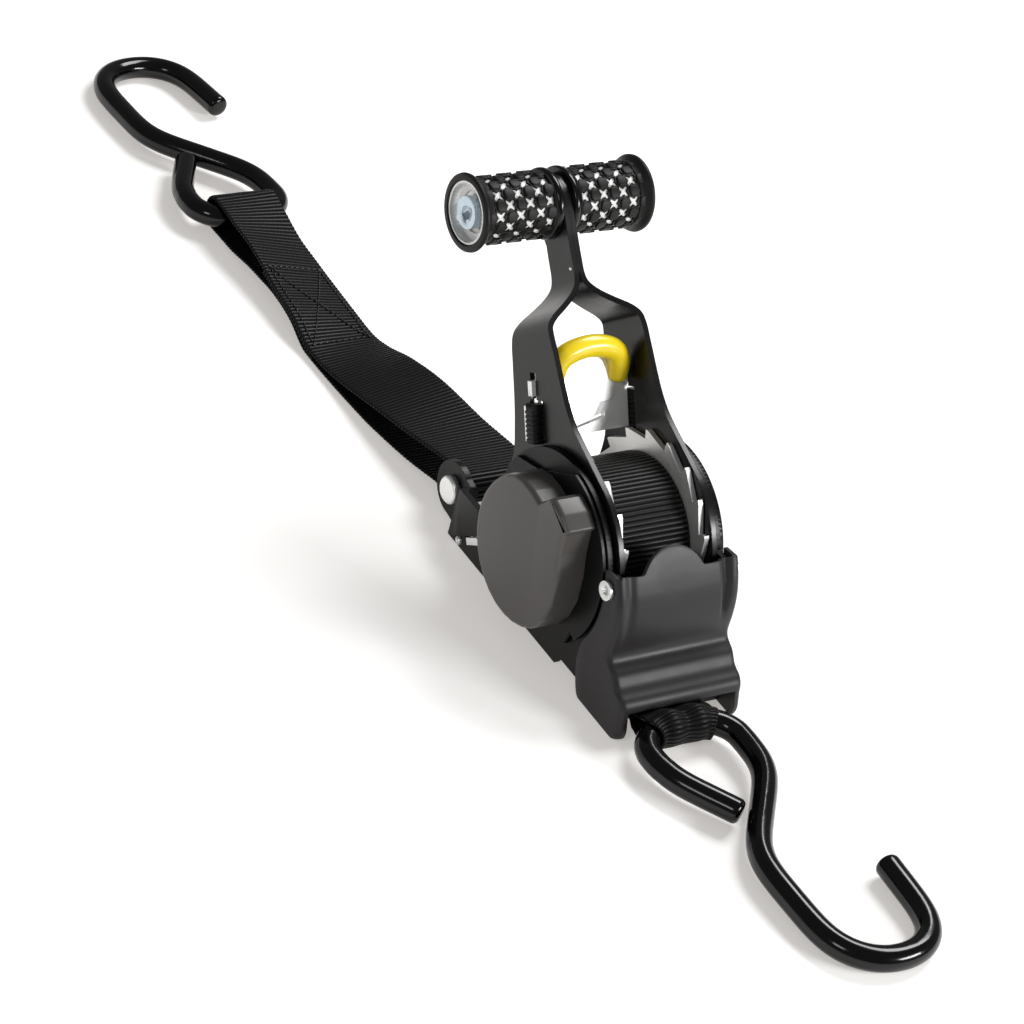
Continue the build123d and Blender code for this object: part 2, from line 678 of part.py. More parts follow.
def strap_plan():
    # seen from above the webbing drifts sideways and is gathered in the hook eye
    half = STRAP_W / 2
    middle = [(-60, 0.0), (-95, -0.8), (-125, -4.0), (-160, -7.0), (-200, -8.3), (-240, -6.6), (-270, -5.6)]
    left = [(x, y - half) for x, y in middle]
    right = [(x, y + half) for x, y in middle]
    end = [(-294, REAR_EYE_Y), (-325, REAR_EYE_Y)]
    left += [(x, y - STRAP_HOOK_HALF) for x, y in end]
    right += [(x, y + STRAP_HOOK_HALF) for x, y in end]
    sides = [Spline(*left), Spline(*right)]
    return make_face(sides + [Line(left[0], right[0]), Line(left[-1], right[-1])])


def rear_strap():
    band = slab(strap_blade() - strap_hollows(), -40, 40)
    return band & extrude(strap_plan(), 60, dir=(0, 0, 1))


# ---- front webbing: a straight run under the roll ending in a sewn loop ----
def front_strap():
    top = AXIS_H - ROLL_R - GAP
    run = poly((-26, top - WEB_T), (70, top - WEB_T), (70, top), (-26, top))
    fold = poly((16, top - 2 * WEB_T), (78, FRONT_EYE_Z - WEB_T), (78, FRONT_EYE_Z + WEB_T), (16, top))
    ring = disc(FRONT_EYE_X, FRONT_EYE_Z, FRONT_LOOP)
    hole = disc(FRONT_EYE_X, FRONT_EYE_Z, FRONT_LOOP - WEB_T)
    flat = slab(run + fold - hole, -STRAP_W / 2, STRAP_W / 2)
    half = FRONT_LOOP_W / 2
    plan = poly((-40, -19), (60, -19), (74, FRONT_EYE_Y - half), (100, FRONT_EYE_Y - half),
                   (100, FRONT_EYE_Y + half), (74, FRONT_EYE_Y + half), (60, 19), (-40, 19))
    loop = slab(ring - hole, -STRAP_W / 2, STRAP_W / 2)
    return (flat + loop) & extrude(plan, 60, dir=(0, 0, 1))


def main():
    save("base_frame", base_frame())
    save("rear_pin", rear_pin())
    save("rear_bush", rear_bush())
    save("spool_bushes", both(spool_bush))
    save("lever_pins", both(lever_pin))
    save("housing_cover", housing_cover())
    save("housing_base", housing_base())
    save("housing_rivets", housing_rivets())
    save("recoil_spring", recoil_spring())
    save("spring_post", spring_post())
    save("ratchet_wheel_left", ratchet_wheel(-1))
    save("ratchet_wheel_right", ratchet_wheel(1))
    save("spool_shaft", spool_shaft())
    save("webbing_roll", webbing_roll())
    save("end_washer", end_washer())
    save("end_clip", end_clip())
    save("handle_arm_left", handle_arm(-1))
    save("handle_arm_right", handle_arm(1))
    save("neck_rivet", neck_rivet())
    save("grip_tube", grip_tube())
    save("grip_sleeve_left", grip_sleeve(-1))
    save("grip_sleeve_right", grip_sleeve(1))
    save("grip_rings", both(grip_ring))
    save("grip_cups", both(grip_cup))
    save("grip_bolt", grip_bolt())
    save("grip_nut", grip_nut())
    save("drive_pawl", drive_pawl())
    save("finger_pull", finger_pull())
    save("pull_rivets", both(pull_rivet))
    save("spring_sleeves", both(spring_sleeve))
    save("spring_guides", both(spring_guide))
    save("lock_pawl", lock_pawl())
    save("anchor_bar", anchor_bar())
    save("lock_springs", both(lock_spring))
    save("release_link", release_link())
    save("release_lever", release_lever())
    save("side_cap", side_cap())
    save("front_strap", front_strap())
    save("rear_strap", rear_strap())
    core = hook_core()
    coating = hook_coating()
    save("front_hook", place_front(core))
    save("front_hook_coating", place_front(coating))
    save("rear_hook", place_rear(core))
    save("rear_hook_coating", place_rear(coating))


main()
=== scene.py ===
from math import atan2, cos, exp, log, pi, radians, sin, sqrt, tan

import bmesh
import bpy
from mathutils import Matrix, Vector


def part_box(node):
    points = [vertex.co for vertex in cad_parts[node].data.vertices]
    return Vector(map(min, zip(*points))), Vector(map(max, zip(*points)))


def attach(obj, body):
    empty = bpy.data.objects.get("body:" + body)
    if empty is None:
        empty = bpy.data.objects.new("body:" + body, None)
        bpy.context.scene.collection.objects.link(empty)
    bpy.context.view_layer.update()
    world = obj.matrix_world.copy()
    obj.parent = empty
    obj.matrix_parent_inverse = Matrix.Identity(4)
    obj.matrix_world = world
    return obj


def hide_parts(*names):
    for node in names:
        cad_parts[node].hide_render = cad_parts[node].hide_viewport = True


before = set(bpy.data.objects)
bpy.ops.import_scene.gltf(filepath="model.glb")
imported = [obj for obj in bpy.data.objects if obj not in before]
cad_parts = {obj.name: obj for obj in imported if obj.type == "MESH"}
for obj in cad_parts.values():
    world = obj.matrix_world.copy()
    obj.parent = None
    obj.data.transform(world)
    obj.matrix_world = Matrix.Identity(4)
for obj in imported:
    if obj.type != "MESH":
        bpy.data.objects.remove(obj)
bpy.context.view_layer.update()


# ---- Studio -------------------------------------------------------------
# A pale paper sweep in a pale room under three soft panels: a big one high
# behind, one low on the right and a weak one in front, as for a catalogue.
mm = 0.001
scene = bpy.context.scene


def linear(hex_colour):
    # sRGB paint number to linear light
    parts = [int(hex_colour[i:i + 2], 16) / 255 for i in (1, 3, 5)]
    return [p / 12.92 if p <= 0.04045 else ((p + 0.055) / 1.055) ** 2.4 for p in parts] + [1.0]


def add(tree, kind, links=None, **settings):
    # one node with its settings, and its inputs set or linked
    made = tree.nodes.new(kind)
    for key, value in settings.items():
        setattr(made, key, value)
    for key, value in (links or {}).items():
        if isinstance(value, bpy.types.NodeSocket):
            tree.links.new(value, made.inputs[key])
        else:
            made.inputs[key].default_value = value
    return made


def new_finish(name):
    # a fresh finish, its tree and its main shader
    finish = bpy.data.materials.new(name)
    finish.use_nodes = True
    tree = finish.node_tree
    shader = tree.nodes["Principled BSDF"]
    return finish, tree, shader


def place_mesh(name, points, faces, finish, smooth=True):
    # points in millimetres, faces as rows of point numbers
    mesh = bpy.data.meshes.new(name)
    mesh.from_pydata([Vector(p) * mm for p in points], [], faces)
    mesh.update()
    mesh.polygons.foreach_set("use_smooth", [smooth] * len(mesh.polygons))
    piece = bpy.data.objects.new(name, mesh)
    scene.collection.objects.link(piece)
    if finish:
        mesh.materials.append(finish)
    return piece


# paper: dead matt, a shade off white, lit a little from behind so that shadows stay pale
paper, tree, shader = new_finish("matt white studio paper")
spot = add(tree, "ShaderNodeTexCoord")
mottle = add(tree, "ShaderNodeTexNoise", {"Vector": spot.outputs["Object"], "Scale": 3.0, "Detail": 2.0})
tone = add(tree, "ShaderNodeMix", {"Factor": mottle.outputs[0], "A": linear("#f4f3f2"),
                                   "B": linear("#f8f8f7")}, data_type="RGBA")
tree.links.new(tone.outputs[2], shader.inputs["Base Color"])
shader.inputs["Roughness"].default_value = 0.9
shader.inputs["Emission Color"].default_value = linear("#fffaf5")
shader.inputs["Emission Strength"].default_value = 0.38
FLOOR_HALF = 6000
FLOOR_DROP = 0.3
floor_corners = [(x * FLOOR_HALF, y * FLOOR_HALF, -FLOOR_DROP)
                 for x, y in ((-1, -1), (1, -1), (1, 1), (-1, 1))]
floor_sheet = place_mesh("studio_floor", floor_corners, [(0, 1, 2, 3)], paper)

world = bpy.data.worlds.new("white room")
scene.world = world
world.use_nodes = True
world.node_tree.nodes["Background"].inputs["Color"].default_value = linear("#f4f5f7")
world.node_tree.nodes["Background"].inputs["Strength"].default_value = 0.2


def soft_panel(name, place, aim, width, height, power):
    # a soft light of that many watts, turned to face the aim
    light = bpy.data.lights.new(name, "AREA")
    light.shape = "RECTANGLE"
    light.size = width
    light.size_y = height
    light.energy = power
    lamp = bpy.data.objects.new(name, light)
    lamp.location = place
    lamp.rotation_euler = (Vector(aim) - Vector(place)).to_track_quat("-Z", "Y").to_euler()
    scene.collection.objects.link(lamp)


soft_panel("key_panel", (-0.65, 1.3, 1.9), (-0.05, 0, 0.05), 1.1, 0.8, 38)
soft_panel("right_panel", (1.35, 0.95, 0.72), (0, 0, 0.06), 0.7, 0.3, 22)
soft_panel("front_panel", (0.9, -1.9, 1.5), (0, 0, 0.05), 0.7, 0.5, 9)

camera = bpy.data.cameras.new("camera")
camera.lens = 122.14
camera.sensor_width = 36
camera.clip_start = 0.05
camera.clip_end = 60
viewer = bpy.data.objects.new("camera", camera)
viewer.location = (0.89236, -0.81150, 0.88183)
viewer.rotation_euler = (radians(54.128), radians(-12.974), radians(58.893))
scene.collection.objects.link(viewer)
scene.camera = viewer
scene.view_settings.view_transform = "Standard"


# ---- Frame --------------------------------------------------------------
# Two side plates and their floor, pressed and folded from 3 mm steel sheet
# and dipped in black e-coat, which rounds every sheared edge a little.
def worn_edge(tree, shader, height_socket, strength, depth, edge):
    # fine relief, with sharp corners softened by that many millimetres
    bump = add(tree, "ShaderNodeBump", {"Height": height_socket, "Strength": strength, "Distance": depth})
    soft = add(tree, "ShaderNodeBevel", {"Radius": edge * mm, "Normal": bump.outputs[0]}, samples=4)
    tree.links.new(soft.outputs[0], shader.inputs["Normal"])


def ecoat(name, dark, light, rough_low, rough_high, edge=0.4, shine=0.28):
    # thin baked paint over steel: satin, faintly cloudy, with a fine orange peel
    finish, tree, shader = new_finish(name)
    where = add(tree, "ShaderNodeTexCoord")
    cloud = add(tree, "ShaderNodeTexNoise", {"Vector": where.outputs["Object"], "Scale": 45.0, "Detail": 4.0})
    grain = add(tree, "ShaderNodeTexNoise", {"Vector": where.outputs["Object"], "Scale": 1400.0,
                                             "Detail": 2.0})
    colour = add(tree, "ShaderNodeMix", {"Factor": cloud.outputs[0], "A": linear(dark), "B": linear(light)},
                 data_type="RGBA")
    tree.links.new(colour.outputs[2], shader.inputs["Base Color"])
    rough = add(tree, "ShaderNodeMapRange", {"Value": cloud.outputs[0], "From Min": 0.3, "From Max": 0.7,
                                             "To Min": rough_low, "To Max": rough_high})
    tree.links.new(rough.outputs[0], shader.inputs["Roughness"])
    shader.inputs["Specular IOR Level"].default_value = shine
    worn_edge(tree, shader, grain.outputs[0], 0.25, 0.00004, edge)
    return finish


def settle(piece):
    # the piece's modifiers become its mesh
    bpy.context.view_layer.update()
    graph = bpy.context.evaluated_depsgraph_get()
    mesh = bpy.data.meshes.new_from_object(piece.evaluated_get(graph))
    piece.modifiers.clear()
    piece.data = mesh


def smooth_but(piece, degrees):
    # smooth to the eye, but sharp where faces meet at more than that angle
    piece.data.polygons.foreach_set("use_smooth", [True] * len(piece.data.polygons))
    piece.data.set_sharp_from_angle(angle=radians(degrees))


def pressed(node, body, finish):
    # the node's own shape as one skin, flats flat and bends smooth
    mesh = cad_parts[node].data.copy()
    shape = bmesh.new()
    shape.from_mesh(mesh)
    bmesh.ops.remove_doubles(shape, verts=shape.verts, dist=3e-6)
    shape.to_mesh(mesh)
    shape.free()
    mesh.materials.clear()
    mesh.materials.append(finish)
    piece = bpy.data.objects.new(node + "_piece", mesh)
    smooth_but(piece, 32)
    scene.collection.objects.link(piece)
    flats = piece.modifiers.new("flats", "WEIGHTED_NORMAL")
    flats.weight = 90
    flats.keep_sharp = True
    settle(piece)
    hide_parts(node)
    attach(piece, body)


frame_coat = ecoat("black e-coat on pressed steel", "#030303", "#070606", 0.30, 0.42, shine=0.2)
pressed("base_frame", "frame", frame_coat)
pressed("side_cap", "frame", frame_coat)


# ---- Pins, bushes and rivets --------------------------------------------
# Turned steel, bright zinc plated, with their heads spun over the plates:
# silver white, with fine turning marks. The spool runs in bronze bushes.
def zinc(name, dark, light, rough_low, rough_high, marks=900.0, metal=0.75):
    # plated or bare metal: cloudy gloss, with fine lines left by the tool
    finish, tree, shader = new_finish(name)
    where = add(tree, "ShaderNodeTexCoord")
    cloud = add(tree, "ShaderNodeTexNoise", {"Vector": where.outputs["Object"], "Scale": 160.0,
                                             "Detail": 5.0})
    drawn = add(tree, "ShaderNodeMapping", {"Vector": where.outputs["Object"], "Scale": (1.0, 0.12, 1.0)})
    lines = add(tree, "ShaderNodeTexNoise", {"Vector": drawn.outputs[0], "Scale": marks, "Detail": 3.0})
    colour = add(tree, "ShaderNodeMix", {"Factor": cloud.outputs[0], "A": linear(dark), "B": linear(light)},
                 data_type="RGBA")
    tree.links.new(colour.outputs[2], shader.inputs["Base Color"])
    rough = add(tree, "ShaderNodeMapRange", {"Value": cloud.outputs[0], "From Min": 0.3, "From Max": 0.7,
                                             "To Min": rough_low, "To Max": rough_high})
    tree.links.new(rough.outputs[0], shader.inputs["Roughness"])
    worn_edge(tree, shader, lines.outputs[0], 0.2, 0.00003, 0.3)
    shader.inputs["Metallic"].default_value = metal
    return finish


bright_zinc = zinc("bright zinc plated steel", "#e6e7e6", "#f8f8f6", 0.26, 0.40)
pressed("rear_pin", "frame", bright_zinc)
pressed("lever_pins", "frame", bright_zinc)
# bronze: brown with the oil it holds, and dull
bush_bronze = zinc("oiled sintered bronze", "#7d5d33", "#a07a45", 0.38, 0.52, metal=1.0)
pressed("spool_bushes", "frame", bush_bronze)
pressed("anchor_bar", "frame", bright_zinc)


# ---- Spring housing -----------------------------------------------------
# A moulded glass-filled nylon cup that holds the clock spring, clipped to a
# steel base plate; the moulding has a satin spark finish and rounded rims.
def moulded(name, dark, light, rough, grit, depth, shine=0.25):
    # nylon or rubber as it leaves the mould, its face pitted like the mould's own
    finish, tree, shader = new_finish(name)
    where = add(tree, "ShaderNodeTexCoord")
    cloud = add(tree, "ShaderNodeTexNoise", {"Vector": where.outputs["Object"], "Scale": 30.0, "Detail": 3.0})
    sparks = add(tree, "ShaderNodeTexVoronoi", {"Vector": where.outputs["Object"], "Scale": grit})
    colour = add(tree, "ShaderNodeMix", {"Factor": cloud.outputs[0], "A": linear(dark), "B": linear(light)},
                 data_type="RGBA")
    tree.links.new(colour.outputs[2], shader.inputs["Base Color"])
    uneven = add(tree, "ShaderNodeMapRange", {"Value": cloud.outputs[0], "From Min": 0.3, "From Max": 0.7,
                                              "To Min": rough - 0.04, "To Max": rough + 0.05})
    tree.links.new(uneven.outputs[0], shader.inputs["Roughness"])
    shader.inputs["Specular IOR Level"].default_value = shine
    worn_edge(tree, shader, sparks.outputs[0], 0.3, depth, 0.4)
    return finish


housing_nylon = moulded("spark finished black nylon", "#454240", "#4f4c4a", 0.36, 1500.0, 0.00003, shine=0.45)


def outward(piece):
    # every face turned to look out of its piece
    shape = bmesh.new()
    shape.from_mesh(piece.data)
    bmesh.ops.recalc_face_normals(shape, faces=shape.faces)
    shape.to_mesh(piece.data)
    shape.free()


def side_faces(levels, around, first=0, closed=False):
    # faces from each ring of points to the next, and on to the first ring again if closed
    faces = []
    for n in range(levels if closed else levels - 1):
        here = first + n * around
        there = first + (n + 1) % levels * around
        for j in range(around):
            k = (j + 1) % around
            faces.append((here + j, here + k, there + k, there + j))
    return faces


def end_faces(levels, around, first=0):
    # one face over the first ring of points and one over the last
    last = first + (levels - 1) * around
    return [tuple(reversed(range(first, first + around))), tuple(range(last, last + around))]


SPOOL_HEIGHT = 45                # the spool's axis over the floor
COVER_ROUND = 32.8
COVER_WALL = 2.3


def rounded(corners):
    # a closed outline from (x, z, radius) corners
    steps = 5
    outline = []
    n = len(corners)
    for i in range(n):
        here = Vector(corners[i][:2])
        back = (Vector(corners[i - 1][:2]) - here).normalized()
        ahead = (Vector(corners[(i + 1) % n][:2]) - here).normalized()
        half = back.angle(ahead) / 2
        reach = min(corners[i][2] / tan(half), (Vector(corners[i - 1][:2]) - here).length * 0.48,
                    (Vector(corners[(i + 1) % n][:2]) - here).length * 0.48)
        first, last = here + back * reach, here + ahead * reach
        for k in range(steps):
            t = k / (steps - 1)
            outline.append(first * (1 - t) ** 2 + here * 2 * t * (1 - t) + last * t ** 2)
    return outline


def inset(outline, depth):
    # the same outline, that much further in
    n = len(outline)
    moved = []
    for i in range(n):
        along = outline[(i + 1) % n] - outline[i - 1]
        moved.append(outline[i] + Vector((along.y, -along.x)).normalized() * depth)
    return moved


corners = []
for i in range(17):
    a = radians(-52 - 11.9 * i)
    corners.append((COVER_ROUND * cos(a), SPOOL_HEIGHT + COVER_ROUND * sin(a), 8))
corners += [(-9.4, 75.6, 8), (-2.0, 75.3, 4), (4.1, 73.8, 0.8), (9.8, 80.3, 1.6), (12.6, 81.3, 1.2),
            (19.8, 78.8, 6), (25.9, 74.4, 1.0), (24.4, 71.6, 0.8), (25.0, 62.0, 6), (27.6, 50.0, 8),
            (28.4, 38.0, 8), (26.0, 28.0, 8)]
skin = rounded(corners)
cup_floor, cup_mouth = -42.6, -30.6
levels = [(cup_floor, COVER_WALL), (cup_mouth, COVER_WALL), (cup_mouth, 0.0), (cup_floor, 0.0), (-43.6, 0.15),
          (-44.4, 0.6), (-44.85, 1.3), (-45.0, 2.2)]
points = [(p.x, y, p.y) for y, depth in levels for p in inset(skin, depth)]
faces = side_faces(len(levels), len(skin)) + end_faces(len(levels), len(skin))
cover = place_mesh("housing_cover_shell", points, faces, housing_nylon)
outward(cover)
cover.data.set_sharp_from_angle(angle=radians(28))
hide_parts("housing_cover")
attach(cover, "frame")
pressed("housing_base", "frame", frame_coat)
pressed("housing_rivets", "frame", bright_zinc)
# spring steel: tempered blue grey, drawn bright
spring_steel = zinc("blued spring steel strip", "#4c4f57", "#666a72", 0.25, 0.35)
pressed("recoil_spring", "frame", spring_steel)
pressed("spring_post", "frame", bright_zinc)


# ---- Spool --------------------------------------------------------------
# Two stamped ratchet wheels on a split shaft, zinc plated bright, with a
# washer and a clip that hold the far end.
wheel_zinc = zinc("bright zinc ratchet wheel", "#f0f0ee", "#fbfbf9", 0.30, 0.38, metal=0.7)
pressed("ratchet_wheel_left", "spool", wheel_zinc)
pressed("ratchet_wheel_right", "spool", wheel_zinc)
pressed("spool_shaft", "spool", bright_zinc)
pressed("end_washer", "spool", bright_zinc)
pressed("end_clip", "spool", spring_steel)


# ---- Webbing on the spool -----------------------------------------------
# Black polyester webbing, 38 mm wide and 1.5 mm thick, woven with heavy
# cross ribs 2.2 mm apart; the outer turn shows, and the turns' edges.
RIB = 2.2
WEB = 1.5
WEB_HALF = 19.0


def smooth_line(keys, value):
    # eased curve through (place, size) pairs
    if value <= keys[0][0]:
        return keys[0][1]
    if value >= keys[-1][0]:
        return keys[-1][1]
    for i in range(len(keys) - 1):
        if keys[i][0] <= value <= keys[i + 1][0]:
            p = keys[max(i - 1, 0)]
            a, b = keys[i], keys[i + 1]
            q = keys[min(i + 2, len(keys) - 1)]
            t = (value - a[0]) / (b[0] - a[0])
            ma = (b[1] - p[1]) / max(b[0] - p[0], 1e-6) * (b[0] - a[0])
            mb = (q[1] - a[1]) / max(q[0] - a[0], 1e-6) * (b[0] - a[0])
            return ((2 * t**3 - 3 * t**2 + 1) * a[1] + (t**3 - 2 * t**2 + t) * ma
                    + (3 * t**2 - 2 * t**3) * b[1] + (t**3 - t**2) * mb)


RIB_RISE = 0.6
RIB_STEPS = 8                    # points along one rib


def ribbed_band(name, stations, finish, closed, columns):
    # stations are (middle, sideways, half width) in millimetres, close together
    lengths = [0.0]
    count = len(stations)
    for i in range(count if closed else count - 1):
        lengths.append(lengths[-1] + (stations[(i + 1) % count][0] - stations[i][0]).length)
    total = lengths[-1]
    ribs = max(1, round(total / RIB))
    steps = ribs * RIB_STEPS
    rows = []
    k = 0
    for n in range(steps if closed else steps + 1):
        s = total * n / steps
        while k < len(lengths) - 2 and lengths[k + 1] < s:
            k += 1
        t = (s - lengths[k]) / max(lengths[k + 1] - lengths[k], 1e-9)
        a, b = stations[k], stations[(k + 1) % count]
        rows.append((a[0].lerp(b[0], t), a[1].lerp(b[1], t).normalized(), a[2] + (b[2] - a[2]) * t))
    points, where = [], []
    shares = [-1, -0.985, -0.95] + [-0.9 + 1.8 * j / (columns - 1) for j in range(columns)] + [0.95, 0.985, 1]
    heights = [0.15, 0.75, 0.95] + [1.0] * columns + [0.95, 0.75, 0.15]
    across = len(shares)
    for n, (middle, side, half) in enumerate(rows):
        after = rows[(n + 1) % len(rows)][0] if closed or n + 1 < len(rows) else middle
        before = rows[n - 1][0] if closed or n else middle
        up = side.cross(after - before).normalized()
        ridge = RIB_RISE * (abs(sin(pi * (n % RIB_STEPS) / RIB_STEPS)) ** 0.6 - 0.6)
        for sign in (1, -1):
            for j in range(across):
                share = shares[j] if sign > 0 else shares[across - 1 - j]
                lift = (WEB / 2 - 0.1 + ridge) * heights[j]
                wave = 0.04 * sin(share * half * 5.2 + n // RIB_STEPS * 1.7)
                points.append(middle + side * share * half + up * sign * (lift + wave * heights[j]))
                where.append((n / RIB_STEPS, share * half * mm))
    faces = side_faces(len(rows), across * 2, closed=closed)
    if not closed:
        faces += end_faces(len(rows), across * 2)
    piece = place_mesh(name, points, faces, finish)
    layer = piece.data.uv_layers.new(name="along")
    for face in piece.data.polygons:
        spots = [where[piece.data.loops[i].vertex_index] for i in face.loop_indices]
        # the last rib meets the first, so its far side counts on instead of starting again
        wraps = closed and max(p[0] for p in spots) - min(p[0] for p in spots) > 4
        for i, p in zip(face.loop_indices, spots):
            layer.data[i].uv = (p[0] + ribs if wraps and p[0] < 4 else p[0], p[1])
    outward(piece)
    return piece


# webbing: one unit along is one rib, near black with painted shade in the gap between ribs, glossy on the
# crest, its yarn 0.8 mm apart
YARN = 0.0008
webbing, tree, shader = new_finish("black polyester webbing")
spread = add(tree, "ShaderNodeUVMap", uv_map="along")
split = add(tree, "ShaderNodeSeparateXYZ", {0: spread.outputs[0]})
turn_along = add(tree, "ShaderNodeMath", {0: split.outputs[0], 1: pi}, operation="MULTIPLY")
swing = add(tree, "ShaderNodeMath", {0: turn_along.outputs[0]}, operation="SINE")
crest = add(tree, "ShaderNodeMath", {0: swing.outputs[0]}, operation="ABSOLUTE")
slant = add(tree, "ShaderNodeMath", {0: split.outputs[0], 1: 0.0012}, operation="MULTIPLY")
lay = add(tree, "ShaderNodeMath", {0: split.outputs[1], 1: slant.outputs[0]}, operation="ADD")
turns = add(tree, "ShaderNodeMath", {0: lay.outputs[0], 1: 2 * pi / YARN}, operation="MULTIPLY")
strand = add(tree, "ShaderNodeMath", {0: turns.outputs[0]}, operation="SINE")
spun = add(tree, "ShaderNodeMapping", {"Vector": spread.outputs[0], "Scale": (1.0, 500.0, 1.0)})
fuzz = add(tree, "ShaderNodeTexNoise", {"Vector": spun.outputs[0], "Scale": 3.0, "Detail": 3.0})
height = add(tree, "ShaderNodeMath", {0: strand.outputs[0], 1: 0.5, 2: fuzz.outputs[0]},
             operation="MULTIPLY_ADD")
bump = add(tree, "ShaderNodeBump", {"Height": height.outputs[0], "Strength": 0.5, "Distance": 0.00006})
yarn = add(tree, "ShaderNodeMix", {"Factor": fuzz.outputs[0], "A": linear("#0a0a09"), "B": linear("#191918")},
           data_type="RGBA")
# painted shade: the colour goes near black in the gap between ribs, where shade falls, and is the yarn's own
# colour on the crest
painted_gap_shade = add(tree, "ShaderNodeMix", {"A": linear("#010101"), "B": yarn.outputs[2]}, data_type="RGBA")
top = add(tree, "ShaderNodeMapRange", {"Value": crest.outputs[0], "From Min": 0.45, "From Max": 0.98})
tree.links.new(top.outputs[0], painted_gap_shade.inputs["Factor"])
tree.links.new(painted_gap_shade.outputs[2], shader.inputs["Base Color"])
tree.links.new(bump.outputs[0], shader.inputs["Normal"])
gloss = add(tree, "ShaderNodeMapRange", {"Value": crest.outputs[0], "From Min": 0.5, "From Max": 0.95,
                                         "To Min": 0.85, "To Max": 0.34})
tree.links.new(gloss.outputs[0], shader.inputs["Roughness"])
shader.inputs["Specular IOR Level"].default_value = 0.2

low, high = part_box("webbing_roll")
roll_middle = Vector(((low.x + high.x) / 2, 0, (low.z + high.z) / 2)) / mm
roll_radius = (high.x - low.x) / 2 / mm - 1.0
stations = []
for i in range(180):
    a = 2 * pi * i / 180
    out = Vector((cos(a), 0, sin(a)))
    stations.append((roll_middle + out * roll_radius, Vector((0, -1, 0)), WEB_HALF))
outer_turn = ribbed_band("webbing_roll_turn", stations, webbing, True, columns=20)

TURN_ROUND = 96
CORE_ROUND = 7.9
points, faces = [], []
# four rings a turn, so that each turn's edge stands a little proud of the gap beside it
layers = [CORE_ROUND + WEB / 4 * i for i in range(68)]
for i in range(TURN_ROUND):
    a = 2 * pi * i / TURN_ROUND
    for y_side in (-1, 1):
        for n, r in enumerate(layers):
            step = min(r + WEB * i / TURN_ROUND, roll_radius)
            edge = WEB_HALF - 0.25 - 0.22 * (1 - abs(sin(pi * (n % 4) / 4)))
            points.append((roll_middle.x + step * cos(a), y_side * edge, roll_middle.z + step * sin(a)))
span = len(layers) * 2
for i in range(TURN_ROUND):
    k = (i + 1) % TURN_ROUND
    for block in (0, len(layers)):
        for n in range(len(layers) - 1):
            a, b = i * span + block + n, k * span + block + n
            faces.append((a, a + 1, b + 1, b) if block else (a, b, b + 1, a + 1))
    for n in (0, len(layers) - 1):
        a, b = i * span + n, k * span + n
        faces.append((a, b, b + len(layers), a + len(layers)))
inner_turns = place_mesh("webbing_roll_edges", points, faces, webbing)
outward(inner_turns)
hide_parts("webbing_roll")
for piece in (outer_turn, inner_turns):
    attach(piece, "spool")


# ---- Handle arms --------------------------------------------------------
# Two stamped steel arms that lean in at the shoulder and close into one
# neck, black e-coat like the frame but a little smoother.
# e-coat over a smoother blank: glossier than the frame's
arm_coat = ecoat("smooth black e-coat", "#0a0a0a", "#110f0f", 0.24, 0.34, shine=0.35)
LEAN = radians(41.6)
ARM_SHEET = 2.5
ARM_ROUND = 45                   # the arm's round end, about the spool
GRIP_UP = 142.5                  # the grip's own axis, up the handle
NECK_ROUND = 13


def leaned(v, y, u):
    # handle sizes (v forward, u up the handle) to the tool as it stands
    return (v * cos(LEAN) - u * sin(LEAN), y, SPOOL_HEIGHT + v * sin(LEAN) + u * cos(LEAN))


back_edge = [(34, -28.6), (42, -22.0), (52, -18.2), (63, -15.0), (78, -11.6), (88, -9.2), (93, -7.9),
             (100, -6.2), (108, -5.2), (120, -5.0), (127, -5.2), (133, -9), (142.5, -13)]
front_edge = [(16, 42.0), (24, 37.6), (32, 33.2), (41, 28.2), (48, 25.0), (56, 22.9), (66, 21.7),
              (76, 20.9), (86, 19.8), (93, 18.2), (100, 15.4), (107, 13.2), (114, 12.7), (127, 12.6),
              (133, 12.8), (142.5, 13)]
# where the sheet's middle lies, by height up the handle
fold = [(-45, 23.45), (40, 23.45), (79, 23.45), (86, 23.45), (90.3, 22.5), (93.7, 19.0), (97.5, 12.7),
        (101.8, 6.4), (106.0, 2.6), (110.5, 1.4), (116, 1.27), (130, 1.27), (146, 1.27)]
PAWL_TILT = radians(12)          # the pawl's slide leans this far forward of the handle
PAWL_V, PAWL_U = -1.4, 54.4      # where its line starts


def on_slide(along, y, across):
    # sizes along and across the pawl's slide, to the tool as it stands
    return leaned(PAWL_V + along * sin(PAWL_TILT) + across * cos(PAWL_TILT), y,
                  PAWL_U + along * cos(PAWL_TILT) - across * sin(PAWL_TILT))


def bar_cutter(name, s0, s1, wide, across, y0, y1):
    # a box along the pawl's slide, for its slot in the arm
    low_edge, high_edge = across - wide / 2, across + wide / 2
    corners = ((s0, low_edge), (s1, low_edge), (s1, high_edge), (s0, high_edge))
    points = [on_slide(s, y, c) for y in (y0, y1) for s, c in corners]
    piece = place_mesh(name, points, side_faces(2, 4) + end_faces(2, 4), None, smooth=False)
    outward(piece)
    return piece


